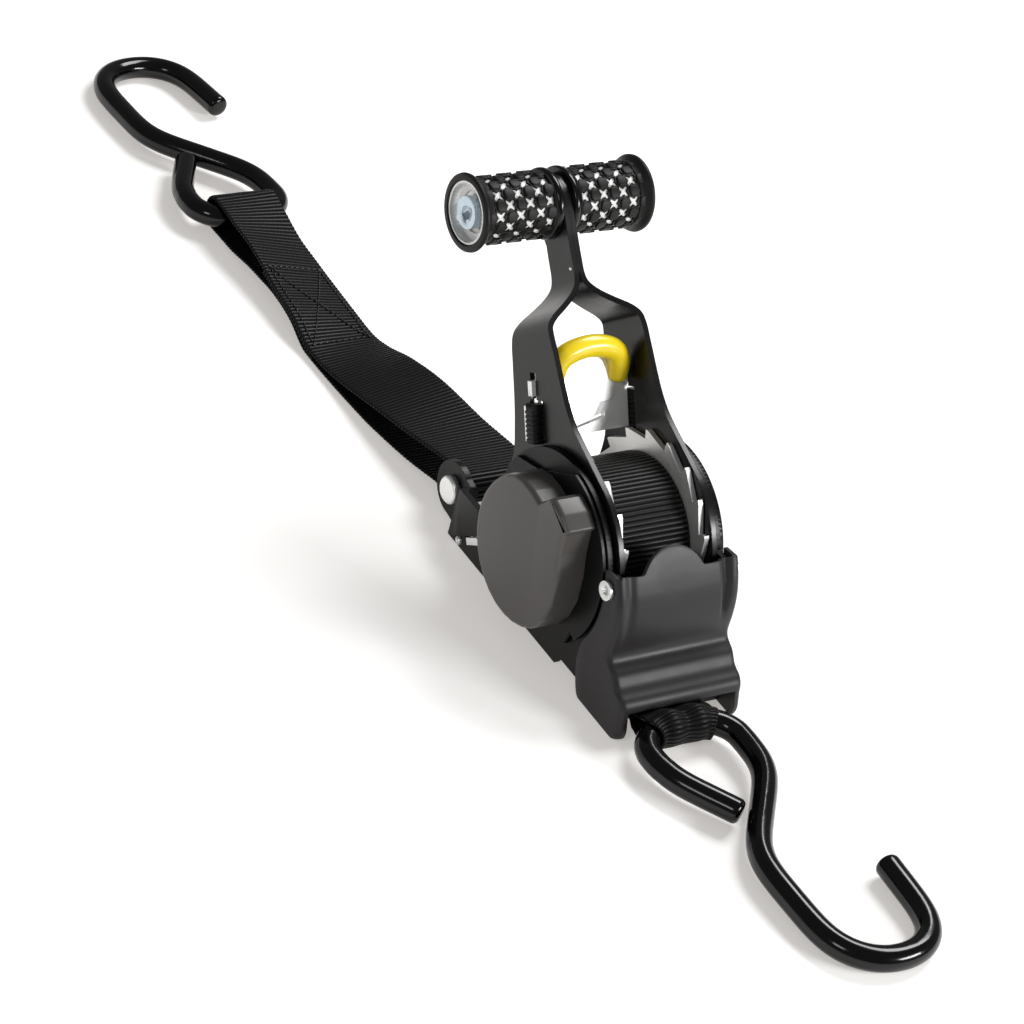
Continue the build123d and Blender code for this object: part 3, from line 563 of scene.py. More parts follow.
for side, body_name in ((-1, "left"), (1, "right")):
    heights = [-44.6, -43.6, -41.5, -38, -33, -27, -20, -12, -4, 4, 12, 18, 24]
    heights += [28 + 2 * k for k in range(25)]
    heights += [77.5 + 1.2 * k for k in range(34)] + [120, 125, 129, 133, 138, 143, 148, 152, 154.6]
    points = []
    columns = 12
    for u in heights:
        y = smooth_line(fold, u)
        slope = (smooth_line(fold, u + 0.6) - smooth_line(fold, u - 0.6)) / 1.2
        if u < 30:
            low_v = -sqrt(max(ARM_ROUND ** 2 - u ** 2, 1))
        elif u > GRIP_UP:
            low_v = -sqrt(max(NECK_ROUND ** 2 - (u - GRIP_UP) ** 2, 0.1))
        else:
            low_v = smooth_line([(30, -33.5)] + back_edge, u)
        if u < 16:
            high_v = sqrt(max(ARM_ROUND ** 2 - u ** 2, 1))
        elif u > GRIP_UP:
            high_v = -low_v
        else:
            high_v = smooth_line(front_edge, u)
        out = Vector((1, -slope)).normalized() * ARM_SHEET / 2
        for sheet_side in (1, -1):
            for j in range(columns + 1):
                jj = j if sheet_side > 0 else columns - j
                v = low_v + (high_v - low_v) * jj / columns
                points.append(leaned(v, side * (y + sheet_side * out.x), u + sheet_side * out.y))
    ring = 2 * (columns + 1)
    faces = side_faces(len(heights), ring)
    last = (len(heights) - 1) * ring
    for j in range(columns):
        faces.append((j, j + 1, ring - 2 - j, ring - 1 - j))
        faces.append((last + j, last + j + 1, last + ring - 2 - j, last + ring - 1 - j))
    arm = place_mesh("handle_arm_sheet_" + body_name, points, faces, arm_coat)
    outward(arm)
    reach = sorted((side * 21.5, side * 26))
    cutters = [bar_cutter("slot_low", -11.2, 7.2, 9.6, 1.5, *reach),
               bar_cutter("slot_high", 6.0, 18.6, 3.9, 0.0, *reach)]
    for cutter in cutters:
        hole = arm.modifiers.new("slot", "BOOLEAN")
        hole.operation = "DIFFERENCE"
        hole.solver = "EXACT"
        hole.object = cutter
    settle(arm)
    for cutter in cutters:
        bpy.data.objects.remove(cutter)
    smooth_but(arm, 35)
    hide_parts("handle_arm_" + body_name)
    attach(arm, "handle")
rivet_outline = [(-2.95, 0.2), (-2.85, 0.6), (-2.55, 0.85), (2.55, 0.85), (2.85, 0.6), (2.95, 0.2)]
RIVET_STEPS = 16
RIVET_V, RIVET_U = 10.4, 113
points = []
for y, r in rivet_outline:
    for k in range(RIVET_STEPS):
        a = 2 * pi * k / RIVET_STEPS
        points.append(leaned(RIVET_V + r * cos(a), y, RIVET_U + r * sin(a)))
faces = side_faces(len(rivet_outline), RIVET_STEPS) + end_faces(len(rivet_outline), RIVET_STEPS)
neck_rivet = place_mesh("neck_rivet_pin", points, faces, bright_zinc)
outward(neck_rivet)
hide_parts("neck_rivet")
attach(neck_rivet, "handle")
pressed("spring_guides", "handle", bright_zinc)
# rubber: black and dull, with a fine tooth
boot_rubber = moulded("ribbed black rubber", "#070707", "#0d0d0c", 0.5, 2200.0, 0.00003)
pressed("spring_sleeves", "handle", boot_rubber)


# ---- Grip ---------------------------------------------------------------
# Two moulded rubber sleeves over a white nylon core: rounded diamond pads
# meet edge to edge and leave star shaped gaps that show the core.
low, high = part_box("grip_tube")
grip_middle = Vector(((low.x + high.x) / 2, 0, (low.z + high.z) / 2)) / mm
core, tree, shader = new_finish("white nylon core")
where = add(tree, "ShaderNodeTexCoord")
dust = add(tree, "ShaderNodeTexNoise", {"Vector": where.outputs["Object"], "Scale": 400.0, "Detail": 3.0})
tint = add(tree, "ShaderNodeMix", {"Factor": dust.outputs[0], "A": linear("#d9d8d6"), "B": linear("#f6f5f3")},
           data_type="RGBA")
tree.links.new(tint.outputs[2], shader.inputs["Base Color"])
shader.inputs["Roughness"].default_value = 0.35
grip_rubber = moulded("moulded black rubber", "#0b0a0a", "#161413", 0.5, 1800.0, 0.00004)


def turned(name, outline, finish):
    # a shape turned about the grip's own line, from (y, radius) pairs
    steps = 96
    points = []
    for i in range(steps):
        a = 2 * pi * i / steps
        points += [(grip_middle.x + r * cos(a), y, grip_middle.z + r * sin(a)) for y, r in outline]
    piece = place_mesh(name, points, side_faces(steps, len(outline), closed=True), finish)
    outward(piece)
    piece.data.set_sharp_from_angle(angle=radians(50))
    return piece


def repeat_tree():
    # sets copies of a pad on staggered rings about the Y line
    group = bpy.data.node_groups.new("staggered rings", "GeometryNodeTree")
    group.is_modifier = True
    face = group.interface
    face.new_socket("Pad", in_out="INPUT", socket_type="NodeSocketGeometry")
    for title, kind in (("Around", "NodeSocketInt"), ("Rings", "NodeSocketInt"),
                        ("Radius", "NodeSocketFloat"),
                        ("First Ring", "NodeSocketFloat"), ("Ring Step", "NodeSocketFloat"),
                        ("Half Turn", "NodeSocketFloat"), ("Centre", "NodeSocketVector"),
                        ("Finish", "NodeSocketMaterial")):
        face.new_socket(title, in_out="INPUT", socket_type=kind)
    face.new_socket("Pads", in_out="OUTPUT", socket_type="NodeSocketGeometry")
    given = add(group, "NodeGroupInput").outputs
    end = add(group, "NodeGroupOutput")
    index = add(group, "GeometryNodeInputIndex")
    total = add(group, "ShaderNodeMath", {0: given["Around"], 1: given["Rings"]}, operation="MULTIPLY")
    share = add(group, "ShaderNodeMath", {0: index.outputs[0], 1: given["Around"]}, operation="DIVIDE")
    ring = add(group, "ShaderNodeMath", {0: share.outputs[0]}, operation="FLOOR")
    odd = add(group, "ShaderNodeMath", {0: ring.outputs[0], 1: 2.0}, operation="MODULO")
    spot = add(group, "ShaderNodeMath", {0: odd.outputs[0], 1: 0.5, 2: index.outputs[0]},
               operation="MULTIPLY_ADD")
    turned_spot = add(group, "ShaderNodeMath", {0: spot.outputs[0], 1: given["Half Turn"]}, operation="ADD")
    part = add(group, "ShaderNodeMath", {0: turned_spot.outputs[0], 1: given["Around"]}, operation="DIVIDE")
    angle = add(group, "ShaderNodeMath", {0: part.outputs[0], 1: 2 * pi}, operation="MULTIPLY")
    wave = add(group, "ShaderNodeMath", {0: angle.outputs[0]}, operation="COSINE")
    rise = add(group, "ShaderNodeMath", {0: angle.outputs[0]}, operation="SINE")
    x = add(group, "ShaderNodeMath", {0: wave.outputs[0], 1: given["Radius"]}, operation="MULTIPLY")
    z = add(group, "ShaderNodeMath", {0: rise.outputs[0], 1: given["Radius"]}, operation="MULTIPLY")
    y = add(group, "ShaderNodeMath", {0: ring.outputs[0], 1: given["Ring Step"],
                                      2: given["First Ring"]}, operation="MULTIPLY_ADD")
    at = add(group, "ShaderNodeCombineXYZ", {0: x.outputs[0], 1: y.outputs[0], 2: z.outputs[0]})
    moved = add(group, "ShaderNodeVectorMath", {0: at.outputs[0], 1: given["Centre"]}, operation="ADD")
    dots = add(group, "GeometryNodePoints", {"Count": total.outputs[0], "Position": moved.outputs[0]})
    back = add(group, "ShaderNodeMath", {0: angle.outputs[0], 1: -1.0}, operation="MULTIPLY")
    lean = add(group, "ShaderNodeCombineXYZ", {1: back.outputs[0]})
    copies = add(group, "GeometryNodeInstanceOnPoints", {"Points": dots.outputs[0],
                                                         "Instance": given["Pad"],
                                                         "Rotation": lean.outputs[0]})
    real = add(group, "GeometryNodeRealizeInstances", {0: copies.outputs[0]})
    dressed = add(group, "GeometryNodeSetMaterial", {"Geometry": real.outputs[0],
                                                     "Material": given["Finish"]})
    group.links.new(dressed.outputs[0], end.inputs[0])
    return group


def run_tree(piece, group, values):
    # sets the tree's inputs by identifier, then turns the result into a mesh
    work = piece.modifiers.new("tree", "NODES")
    work.node_group = group
    for item in group.interface.items_tree:
        if item.item_type == "SOCKET" and item.in_out == "INPUT" and item.name in values:
            work[item.identifier] = values[item.name]
    settle(piece)


AROUND = 9                       # stars in one ring, and pads between them
STEP = 5.0                       # from ring to ring along the grip
SKIN = 13.95                     # outside of the sleeve between its pads
SKIN_DEEP = 0.95                 # and its thickness there
PAD_STEPS = 20
rings_tree = repeat_tree()


def patch_point(y, round_way, radius):
    # flat sizes on the sleeve, bent round it, as seen from the sleeve's middle line
    a = round_way / SKIN
    return (radius * cos(a), y, radius * sin(a))


half_y, half_r = STEP / 2, pi * SKIN / (2 * AROUND)
# one tile of the sleeve: a square rim with a sunk star in the middle
rim = []
for side_no in range(4):
    for k in range(6):
        t = -1 + 2 * k / 6
        edges = [(half_y * -t, -half_r), (-half_y, half_r * t), (half_y * t, half_r), (half_y, half_r * -t)]
        rim.append(edges[side_no])
star = []
for y, r in rim:
    a = atan2(r / half_r, y / half_y)
    reach = 1.25 + 1.8 * (0.5 - 0.5 * cos(4 * a)) ** 1.05
    star.append((reach * cos(a), reach * sin(a)))
points = [patch_point(y, r, SKIN) for y, r in rim]
points += [patch_point(y * 1.07, r * 1.07, SKIN) for y, r in star]
points += [patch_point(y, r, SKIN - 0.12) for y, r in star]
points += [patch_point(y, r, SKIN - SKIN_DEEP) for y, r in star + rim]
star_patch = place_mesh("star_patch", points, side_faces(5, len(rim)), grip_rubber)
# the other tile: a plain square with a raised pad
plain = []
for radius in (SKIN, SKIN - SKIN_DEEP):
    for i in range(7):
        for j in range(2):
            plain.append(patch_point(half_y * (1 - 2 * j), half_r * (-1 + 2 * i / 6), radius))
faces = []
for i in range(6):
    faces.append((2 * i, 2 * i + 1, 2 * i + 3, 2 * i + 2))
    faces.append((14 + 2 * i, 14 + 2 * i + 2, 14 + 2 * i + 3, 14 + 2 * i + 1))
pad_outline = []
for i in range(PAD_STEPS):
    # a squarish pad with full corners
    a = 2 * pi * i / PAD_STEPS
    reach = 2.3 / (abs(cos(a)) ** 3.6 + abs(sin(a)) ** 3.6) ** (1 / 3.6)
    pad_outline.append((reach * cos(a), reach * sin(a)))
start_at = len(plain)
pad_levels = [(SKIN - 0.3, 1.0), (SKIN + 0.5, 0.97), (SKIN + 0.75, 0.9), (SKIN + 0.8, 0.78)]
for radius, share in pad_levels:
    plain += [patch_point(y * share, r * share, radius) for y, r in pad_outline]
faces += side_faces(len(pad_levels), PAD_STEPS, start_at) + end_faces(len(pad_levels), PAD_STEPS, start_at)
pad_patch = place_mesh("pad_patch", plain, faces, grip_rubber)
for side, body_name in ((-1, "left"), (1, "right")):
    core_piece = turned("grip_core_" + body_name, [
        (side * 6.0, 9.1), (side * 38.4, 9.1), (side * 38.4, 13.05), (side * 6.0, 13.05)], core)
    collar = turned("grip_collar_" + body_name, [
        (side * 36.9, 13.0), (side * 42.2, 13.45), (side * 43.0, 14.0), (side * 43.0, 16.0),
        (side * 42.6, 16.6), (side * 41.6, 16.8), (side * 40.9, 16.5), (side * 40.0, 15.5),
        (side * 38.9, 14.75), (side * 37.6, 14.35), (side * 36.9, 14.2)], grip_rubber)
    root = turned("grip_root_" + body_name, [
        (side * 5.95, 9.1), (side * 7.0, 9.1), (side * 7.0, 14.2), (side * 6.6, 14.6), (side * 5.95, 14.7)],
        grip_rubber)
    halves = []
    for patch, shift in ((star_patch, 0.0), (pad_patch, 0.5)):
        piece = bpy.data.objects.new("grip_" + patch.name + "_" + body_name, patch.data.copy())
        scene.collection.objects.link(piece)
        first = 8.6 if side > 0 else -38.6
        run_tree(piece, rings_tree, {"Around": AROUND, "Rings": 7, "Radius": 0.0, "First Ring": first * mm,
                                     "Ring Step": STEP * mm, "Half Turn": shift,
                                     "Centre": tuple(grip_middle * mm), "Finish": grip_rubber})
        halves.append(piece)
    shape = bmesh.new()
    for piece in halves:
        shape.from_mesh(piece.data)
    bmesh.ops.remove_doubles(shape, verts=shape.verts, dist=2e-5)
    bmesh.ops.recalc_face_normals(shape, faces=shape.faces)
    sleeve = place_mesh("grip_sleeve_skin_" + body_name, [], [], grip_rubber)
    shape.to_mesh(sleeve.data)
    shape.free()
    smooth_but(sleeve, 48)
    for piece in halves:
        bpy.data.objects.remove(piece)
    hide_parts("grip_sleeve_" + body_name)
    for piece in (core_piece, collar, root, sleeve):
        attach(piece, "handle")
for patch in (star_patch, pad_patch):
    bpy.data.objects.remove(patch)
# the cups are satin, the bolt through them brighter and bluish
cup_steel = zinc("satin zinc cup", "#c9cac9", "#e2e2e0", 0.30, 0.42)
blue_zinc = zinc("blue zinc plated bolt", "#a9bccb", "#cfdde6", 0.16, 0.28)
pressed("grip_tube", "handle", cup_steel)
# polished nylon: black with a sharp highlight
ring_gloss, tree, shader = new_finish("polished black nylon ring")
where = add(tree, "ShaderNodeTexCoord")
swirl = add(tree, "ShaderNodeTexNoise", {"Vector": where.outputs["Object"], "Scale": 300.0, "Detail": 3.0})
shine = add(tree, "ShaderNodeMapRange", {"Value": swirl.outputs[0], "To Min": 0.14, "To Max": 0.26})
ink = add(tree, "ShaderNodeMix", {"Factor": swirl.outputs[0], "A": linear("#030303"), "B": linear("#090909")},
          data_type="RGBA")
tree.links.new(ink.outputs[2], shader.inputs["Base Color"])
tree.links.new(shine.outputs[0], shader.inputs["Roughness"])
shader.inputs["Specular IOR Level"].default_value = 0.35
ring_outline = [(2.7, 9.15), (2.7, 14.6), (2.9, 15.05), (3.4, 15.4), (4.6, 15.4), (5.4, 15.1), (5.9, 14.4),
                (5.9, 9.15)]
near_ring = turned("grip_ring_left", [(-y, r) for y, r in ring_outline], ring_gloss)
far_ring = turned("grip_ring_right", ring_outline, ring_gloss)
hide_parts("grip_rings")
for piece in (near_ring, far_ring):
    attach(piece, "handle")
pressed("grip_cups", "handle", cup_steel)
pressed("grip_bolt", "handle", blue_zinc)
pressed("grip_nut", "handle", blue_zinc)


# ---- Drive pawl and finger pull -----------------------------------------
# A bright zinc plate that slides in both arms, with a thinner tongue laid on
# it, and a fat arch of yellow vinyl moulded over its rolled top edge.
pawl_zinc = zinc("bright zinc pawl plate", "#f2f2f0", "#fdfdfb", 0.3, 0.4, marks=500.0, metal=0.35)
pressed("drive_pawl", "drive_pawl", pawl_zinc)
pressed("pull_rivets", "drive_pawl", pawl_zinc)
tongue_outline = [(-15.2, 24), (-15.2, 11), (-14.2, 6.6), (-11.6, 4.2), (-7.6, 3.4), (-2, 2.6), (4, 2.2),
                  (9.6, 2.1), (12.8, 2.6), (14.8, 4.6), (15.2, 8), (15.2, 24)]
points = []
for across_at in (1.3, 2.15, 2.3):
    shrink = 0.18 if across_at > 2.2 else 0
    for y, s_at in tongue_outline:
        y -= shrink * (1 if y > 0 else -1)
        s_at += shrink if s_at < 20 else 0
        points.append(on_slide(s_at, y, across_at))
n = len(tongue_outline)
tongue = place_mesh("pawl_tongue", points, side_faces(3, n) + end_faces(3, n), pawl_zinc)
outward(tongue)
tongue.data.set_sharp_from_angle(angle=radians(30))
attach(tongue, "drive_pawl")
vinyl, tree, shader = new_finish("yellow vinyl dip")
where = add(tree, "ShaderNodeTexCoord")
flow = add(tree, "ShaderNodeTexNoise", {"Vector": where.outputs["Object"], "Scale": 60.0, "Detail": 3.0})
hue = add(tree, "ShaderNodeMix", {"Factor": flow.outputs[0], "A": linear("#f6cf00"), "B": linear("#ffe92e")},
          data_type="RGBA")
tree.links.new(hue.outputs[2], shader.inputs["Base Color"])
lump = add(tree, "ShaderNodeBump", {"Height": flow.outputs[0], "Strength": 0.3, "Distance": 0.0006})
tree.links.new(lump.outputs[0], shader.inputs["Normal"])
shader.inputs["Roughness"].default_value = 0.28
shader.inputs["Subsurface Weight"].default_value = 0.15
shader.inputs["Subsurface Scale"].default_value = 0.002
shader.inputs["Coat Weight"].default_value = 0.3


def evenly(line, count):
    # that many points at equal steps along a line
    lengths = [0.0]
    for a, b in zip(line, line[1:]):
        lengths.append(lengths[-1] + (b - a).length)
    even, k = [], 0
    for n in range(count):
        s = lengths[-1] * n / (count - 1)
        while k < len(lengths) - 2 and lengths[k + 1] < s:
            k += 1
        t = (s - lengths[k]) / max(lengths[k + 1] - lengths[k], 1e-9)
        even.append(line[k].lerp(line[k + 1], min(max(t, 0), 1)))
    return even


def even_line(keys, count):
    # a smooth line through the keys, cut into equal steps
    fine = []
    for i in range(len(keys) - 1):
        p = Vector(keys[max(i - 1, 0)])
        a, b = Vector(keys[i]), Vector(keys[i + 1])
        q = Vector(keys[min(i + 2, len(keys) - 1)])
        for k in range(12):
            t = k / 12
            fine.append(0.5 * (2 * a + (b - p) * t + (2 * p - 5 * a + 4 * b - q) * t ** 2
                               + (3 * a - p - 3 * b + q) * t ** 3))
    fine.append(Vector(keys[-1]))
    return evenly(fine, count)


pull_line = even_line([(-16.4, -1.5), (-16.5, 4.2), (-15.4, 9.2), (-12.0, 12.8), (-6.4, 14.9), (0, 15.6),
                       (6.4, 14.9), (12.0, 12.8), (15.4, 9.2), (16.5, 4.2), (16.4, -1.5)], 48)
PULL_LEAN = radians(29)
PULL_V, PULL_U = 3.74, 66.09     # the arch's foot on the handle
PULL_STEPS = 20
points = []
for i, (side, up) in enumerate(pull_line):
    before, after = pull_line[max(i - 1, 0)], pull_line[min(i + 1, len(pull_line) - 1)]
    run = Vector((after[0] - before[0], after[1] - before[1])).normalized()
    thick = 5.0 - 0.6 * min(1, max(0, (6 - up) / 6)) - (0.5 if i in (0, len(pull_line) - 1) else 0)
    for k in range(PULL_STEPS):
        angle = 2 * pi * k / PULL_STEPS
        off = thick * cos(angle)
        out = 0.92 * thick * sin(angle)
        s_at = up + off * run[0]
        points.append(leaned(PULL_V + s_at * sin(PULL_LEAN) + out * cos(PULL_LEAN), side - off * run[1],
                             PULL_U + s_at * cos(PULL_LEAN) - out * sin(PULL_LEAN)))
faces = side_faces(len(pull_line), PULL_STEPS) + end_faces(len(pull_line), PULL_STEPS)
pull = place_mesh("finger_pull_arch", points, faces, vinyl)
outward(pull)
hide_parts("finger_pull")
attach(pull, "drive_pawl")


# ---- Lock pawl and release linkage --------------------------------------
# Flat zinc plated stampings, drawn to the spool by two small springs of
# music wire; the link joins the lock pawl to the release lever.
for node in ("lock_pawl", "release_link"):
    pressed(node, node, bright_zinc)
pressed("lock_springs", "frame", spring_steel)


# ---- Release lever ------------------------------------------------------
# Drawn from 2 mm steel sheet: a waved front with a thumb hump, a groove
# down each side and two cheeks, painted matt grey-black.
lever_paint = ecoat("matt grey-black paint", "#211f20", "#292728", 0.38, 0.48, edge=0.6, shine=0.3)
LEVER_SHEET = 2.0
front_line = [(50, 62.5), (51.6, 59.6), (53.4, 56), (55.2, 51), (56.3, 45.5), (56.8, 39.5), (56.7, 34),
              (57.0, 31.0), (58.4, 28.4), (60.8, 26.9), (63.3, 25.6), (65.2, 23.6), (67.0, 21.5),
              (69.4, 20.0), (71.9, 19.0), (73.8, 17.2), (74.7, 14.8), (75.0, 12.6), (75.9, 9.4),
              (76.8, 5.6), (76.2, 2.2), (74.0, 0.1)]
LEVER_ROWS = 64
TOP_BACK, TOP_UP = 0.515, 0.857  # the way in which the top edge stands up
REAR_ROUND = 43.6
TOP_RISE = 2.4                   # the top edge over its last bend
HUMP_ROUND, HUMP_SIDE, HUMP_SUNK = 15.8, -2.5, 3.0
BLEND = 0.9                      # how tightly the hump runs into the edge
front = even_line(front_line, LEVER_ROWS)
back = []
for k in range(9):
    # the cheeks' rear edges follow the spool flanges, then run down to the foot
    a = radians(24 - 50 * k / 8)
    back.append((REAR_ROUND * cos(a), SPOOL_HEIGHT + REAR_ROUND * sin(a)))
back = even_line(back + [(38.2, 22), (38.6, 14.5), (41, 7.5), (44.2, 1.6), (46.5, 0.1)], LEVER_ROWS)
CHEEK = 31.0
CURL = 2.6
flat_y = CHEEK - CURL
across = [-flat_y + 2 * flat_y * j / 56 for j in range(57)]
top_rows = 8
points, grid = [], []
for n in range(-top_rows, LEVER_ROWS):
    row = {}
    for side in (-1, 1):
        base = front[max(n, 0)]
        rear = back[max(n, 0)]
        lift = TOP_RISE * -n / top_rows if n < 0 else 0
        edge = Vector((base.x - TOP_BACK * lift, base.y + TOP_UP * lift))
        rear = Vector((rear.x - 0.1 * lift, rear.y + 0.25 * lift))
        way = (rear - edge).normalized()
        span = (rear - edge).length
        cells = []
        for k in range(1, 5):
            a = pi / 2 * k / 4
            spot = edge + way * CURL * (1 - cos(a))
            cells.append((spot.x, side * (flat_y + CURL * sin(a)), spot.y))
        for k in range(1, 8):
            spot = edge + way * (CURL + (span - CURL) * k / 7)
            cells.append((spot.x, side * CHEEK, spot.y))
        row[side] = cells
    middle = []
    for y in across:
        # the thumb hump is a round dome that runs softly into the top edge
        dome = sqrt(max(0.0, HUMP_ROUND ** 2 - (y - HUMP_SIDE) ** 2)) - HUMP_SUNK
        curl_up = 1.2 * exp(-((abs(y) - 29) / 2.2) ** 2)
        high = exp(dome * BLEND) + exp((TOP_RISE + curl_up) * BLEND)
        rise = log(high) / BLEND - (0.25 if dome > 0 else 0)
        base = front[max(n, 0)]
        if n < 0:
            share = -n / top_rows
            bend = max(0.0, (rise - 6) / 8) * share ** 2 * 1.2
            spot = Vector((base.x - TOP_BACK * rise * share - bend, base.y + TOP_UP * rise * share))
        else:
            spot = base.copy()
        # a groove pressed down each side, the right one wider towards the top
        z = spot.y
        left = 0.9 * exp(-((y + 24.6) / 1.9) ** 2) * min(1, max(0, (z - 33) / 14))
        width = 0.8 + 1.3 * min(1, max(0, (z - 40) / 24))
        right = 2.1 * exp(-((y - 24.2) / width) ** 2) * min(1, max(0, (z - 39) / 9))
        middle.append((spot.x - (left + right) * 0.96, y, spot.y - (left + right) * 0.2))
    line = [row[-1][k] for k in reversed(range(11))] + middle + list(row[1])
    grid.append(line)
    points += line
wide = len(grid[0])
faces = []
for n in range(len(grid) - 1):
    for j in range(wide - 1):
        in_front = 12 <= j < wide - 13
        if in_front and grid[n + 1][j][2] < 13.2:
            continue
        faces.append((n * wide + j, n * wide + j + 1, (n + 1) * wide + j + 1, (n + 1) * wide + j))
lever = place_mesh("release_lever_shell", points, faces, lever_paint)
shape = bmesh.new()
shape.from_mesh(lever.data)
bmesh.ops.delete(shape, geom=[v for v in shape.verts if not v.link_faces], context="VERTS")
bmesh.ops.recalc_face_normals(shape, faces=shape.faces)
shape.faces.ensure_lookup_table()
probe = max(shape.faces, key=lambda f: f.calc_center_median().x)
if probe.normal.x < 0:
    bmesh.ops.reverse_faces(shape, faces=shape.faces)
shape.to_mesh(lever.data)
shape.free()
wall = lever.modifiers.new("sheet", "SOLIDIFY")
wall.thickness = LEVER_SHEET * mm
wall.offset = -1
wall.use_even_offset = True
rim_round = lever.modifiers.new("rim", "BEVEL")
rim_round.width = 0.45 * mm
rim_round.segments = 2
rim_round.limit_method = "ANGLE"
rim_round.angle_limit = radians(60)
settle(lever)
smooth_but(lever, 40)
lip_points = []
for y in (-29.4, 29.4):
    lip_points += [(62, y, 0.7), (64.4, y, 0.7), (64.4, y, 4.2), (63.9, y, 4.6), (62.5, y, 4.6), (62, y, 4.2)]
faces = side_faces(2, 6) + end_faces(2, 6)
lip = place_mesh("release_lever_lip", lip_points, faces, lever_paint, smooth=False)
outward(lip)
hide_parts("release_lever")
for piece in (lever, lip):
    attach(piece, "release_lever")


# ---- Hooks --------------------------------------------------------------
# Bent 9.4 mm steel wire dipped in black PVC: a glossy skin, a little
# thicker at the blunt ends, with slow lumps where the dip ran.
dip, tree, shader = new_finish("glossy black vinyl dip")
where = add(tree, "ShaderNodeTexCoord")
runs = add(tree, "ShaderNodeTexNoise", {"Vector": where.outputs["Object"], "Scale": 55.0, "Detail": 2.0})
skin = add(tree, "ShaderNodeTexNoise", {"Vector": where.outputs["Object"], "Scale": 900.0, "Detail": 3.0})
both_runs = add(tree, "ShaderNodeMath", {0: skin.outputs[0], 1: 0.06, 2: runs.outputs[0]},
                operation="MULTIPLY_ADD")
lump = add(tree, "ShaderNodeBump", {"Height": both_runs.outputs[0], "Strength": 0.22, "Distance": 0.0008})
tree.links.new(lump.outputs[0], shader.inputs["Normal"])
gloss = add(tree, "ShaderNodeMapRange", {"Value": runs.outputs[0], "From Min": 0.3, "From Max": 0.7,
                                         "To Min": 0.1, "To Max": 0.17})
tree.links.new(gloss.outputs[0], shader.inputs["Roughness"])
black = add(tree, "ShaderNodeMix", {"Factor": skin.outputs[0], "A": linear("#020202"),
                                    "B": linear("#060505")}, data_type="RGBA")
tree.links.new(black.outputs[2], shader.inputs["Base Color"])
shader.inputs["Specular IOR Level"].default_value = 0.34
wire_corners = [(97, 38, 0), (142.9, 34.5, 20), (142.9, -14, 24), (76, -14, 28), (33, 22.9, 21),
                (0, 22.9, 14), (0, -22.9, 14), (25, -22.9, 13.5), (52, -5.35, 0)]


WIRE_STEP = 1.25


def wire_line():
    # runs and round bends, then eased a little, as a bender leaves them; the eye's end stays straight
    line = [Vector(wire_corners[0][:2])]
    for i in range(1, len(wire_corners) - 1):
        here = Vector(wire_corners[i][:2])
        back = (Vector(wire_corners[i - 1][:2]) - here).normalized()
        ahead = (Vector(wire_corners[i + 1][:2]) - here).normalized()
        half = back.angle(ahead) / 2
        radius = wire_corners[i][2]
        middle = here + (back + ahead).normalized() * radius / sin(half)
        first, last = here + back * radius / tan(half), here + ahead * radius / tan(half)
        a0 = atan2(first.y - middle.y, first.x - middle.x)
        a1 = atan2(last.y - middle.y, last.x - middle.x)
        turn = (a1 - a0 + pi) % (2 * pi) - pi
        for k in range(13):
            a = a0 + turn * k / 12
            line.append(middle + Vector((cos(a), sin(a))) * radius)
    line.append(Vector(wire_corners[-1][:2]))
    count = int(sum((b - a).length for a, b in zip(line, line[1:])) / WIRE_STEP)
    even = evenly(line, count + 1)
    eased = []
    for n, p in enumerate(even):
        reach = min(n, count - n, 9) * (1 if p.x > 22 else max(0.0, (p.x - 10) / 12))
        total, weight = Vector((0, 0)), 0.0
        for m in range(max(0, n - 14), min(count, n + 14) + 1):
            w = exp(-((m - n) * WIRE_STEP) ** 2 / (2 * max(reach * 0.8, 0.3) ** 2))
            total += even[m] * w
            weight += w
        eased.append(total / weight)
    return eased


def hook_tube(name, place, radius, trim, finish):
    # a round bar along the wire's line with both ends domed
    line = wire_line()
    steps = 22
    stations = []
    for n, p in enumerate(line):
        along = (line[min(n + 1, len(line) - 1)] - line[max(n - 1, 0)]).normalized()
        stations.append((p, along, radius))
    domes = []
    for end, way in ((stations[0], -1), (stations[-1], 1)):
        dome = []
        for k in range(5):
            a = pi / 2 * k / 4.3
            reach = way * (1.2 - trim - (1 - sin(a)) * 2.6)
            dome.append((end[0] + end[1] * reach, end[1], radius * (0.25 + 0.75 * cos(a) ** 0.6)))
        domes.append(dome)
    stations = domes[0][::-1] + stations[2:-2] + domes[1]
    points = []
    for p, along, r in stations:
        side = Vector((-along.y, along.x))
        for k in range(steps):
            a = 2 * pi * k / steps
            points.append(place @ Vector((p.x + side.x * r * cos(a), p.y + side.y * r * cos(a), r * sin(a))))
    faces = side_faces(len(stations), steps) + end_faces(len(stations), steps)
    piece = place_mesh(name, points, faces, finish)
    outward(piece)
    return piece


def hook_place(x, y, z, tilt, yaw, flip):
    # from the wire's own flat line to where the hook lies
    place = Matrix.Translation((x, y, z)) @ Matrix.Rotation(radians(tilt), 4, "Y")
    place = place @ Matrix.Rotation(radians(yaw), 4, "Z")
    return place @ Matrix.Diagonal((-1, 1, 1, 1)) if flip else place


SKIN_ROUND, WIRE_ROUND = 5.5, 4.6
for body_name, place in (("front_hook", hook_place(82.5, -5.4, 8.9, 1.35, 1.6, False)),
                         ("rear_hook", hook_place(-306.2, -7.0, 9.9, -1.74, 1.6, True))):
    skin = hook_tube(body_name + "_skin", place, SKIN_ROUND, 0.0, dip)
    wire = hook_tube(body_name + "_wire", place, WIRE_ROUND, 1.2, spring_steel)
    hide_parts(body_name + "_coating")
    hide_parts(body_name)
    for piece in (skin, wire):
        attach(piece, body_name)


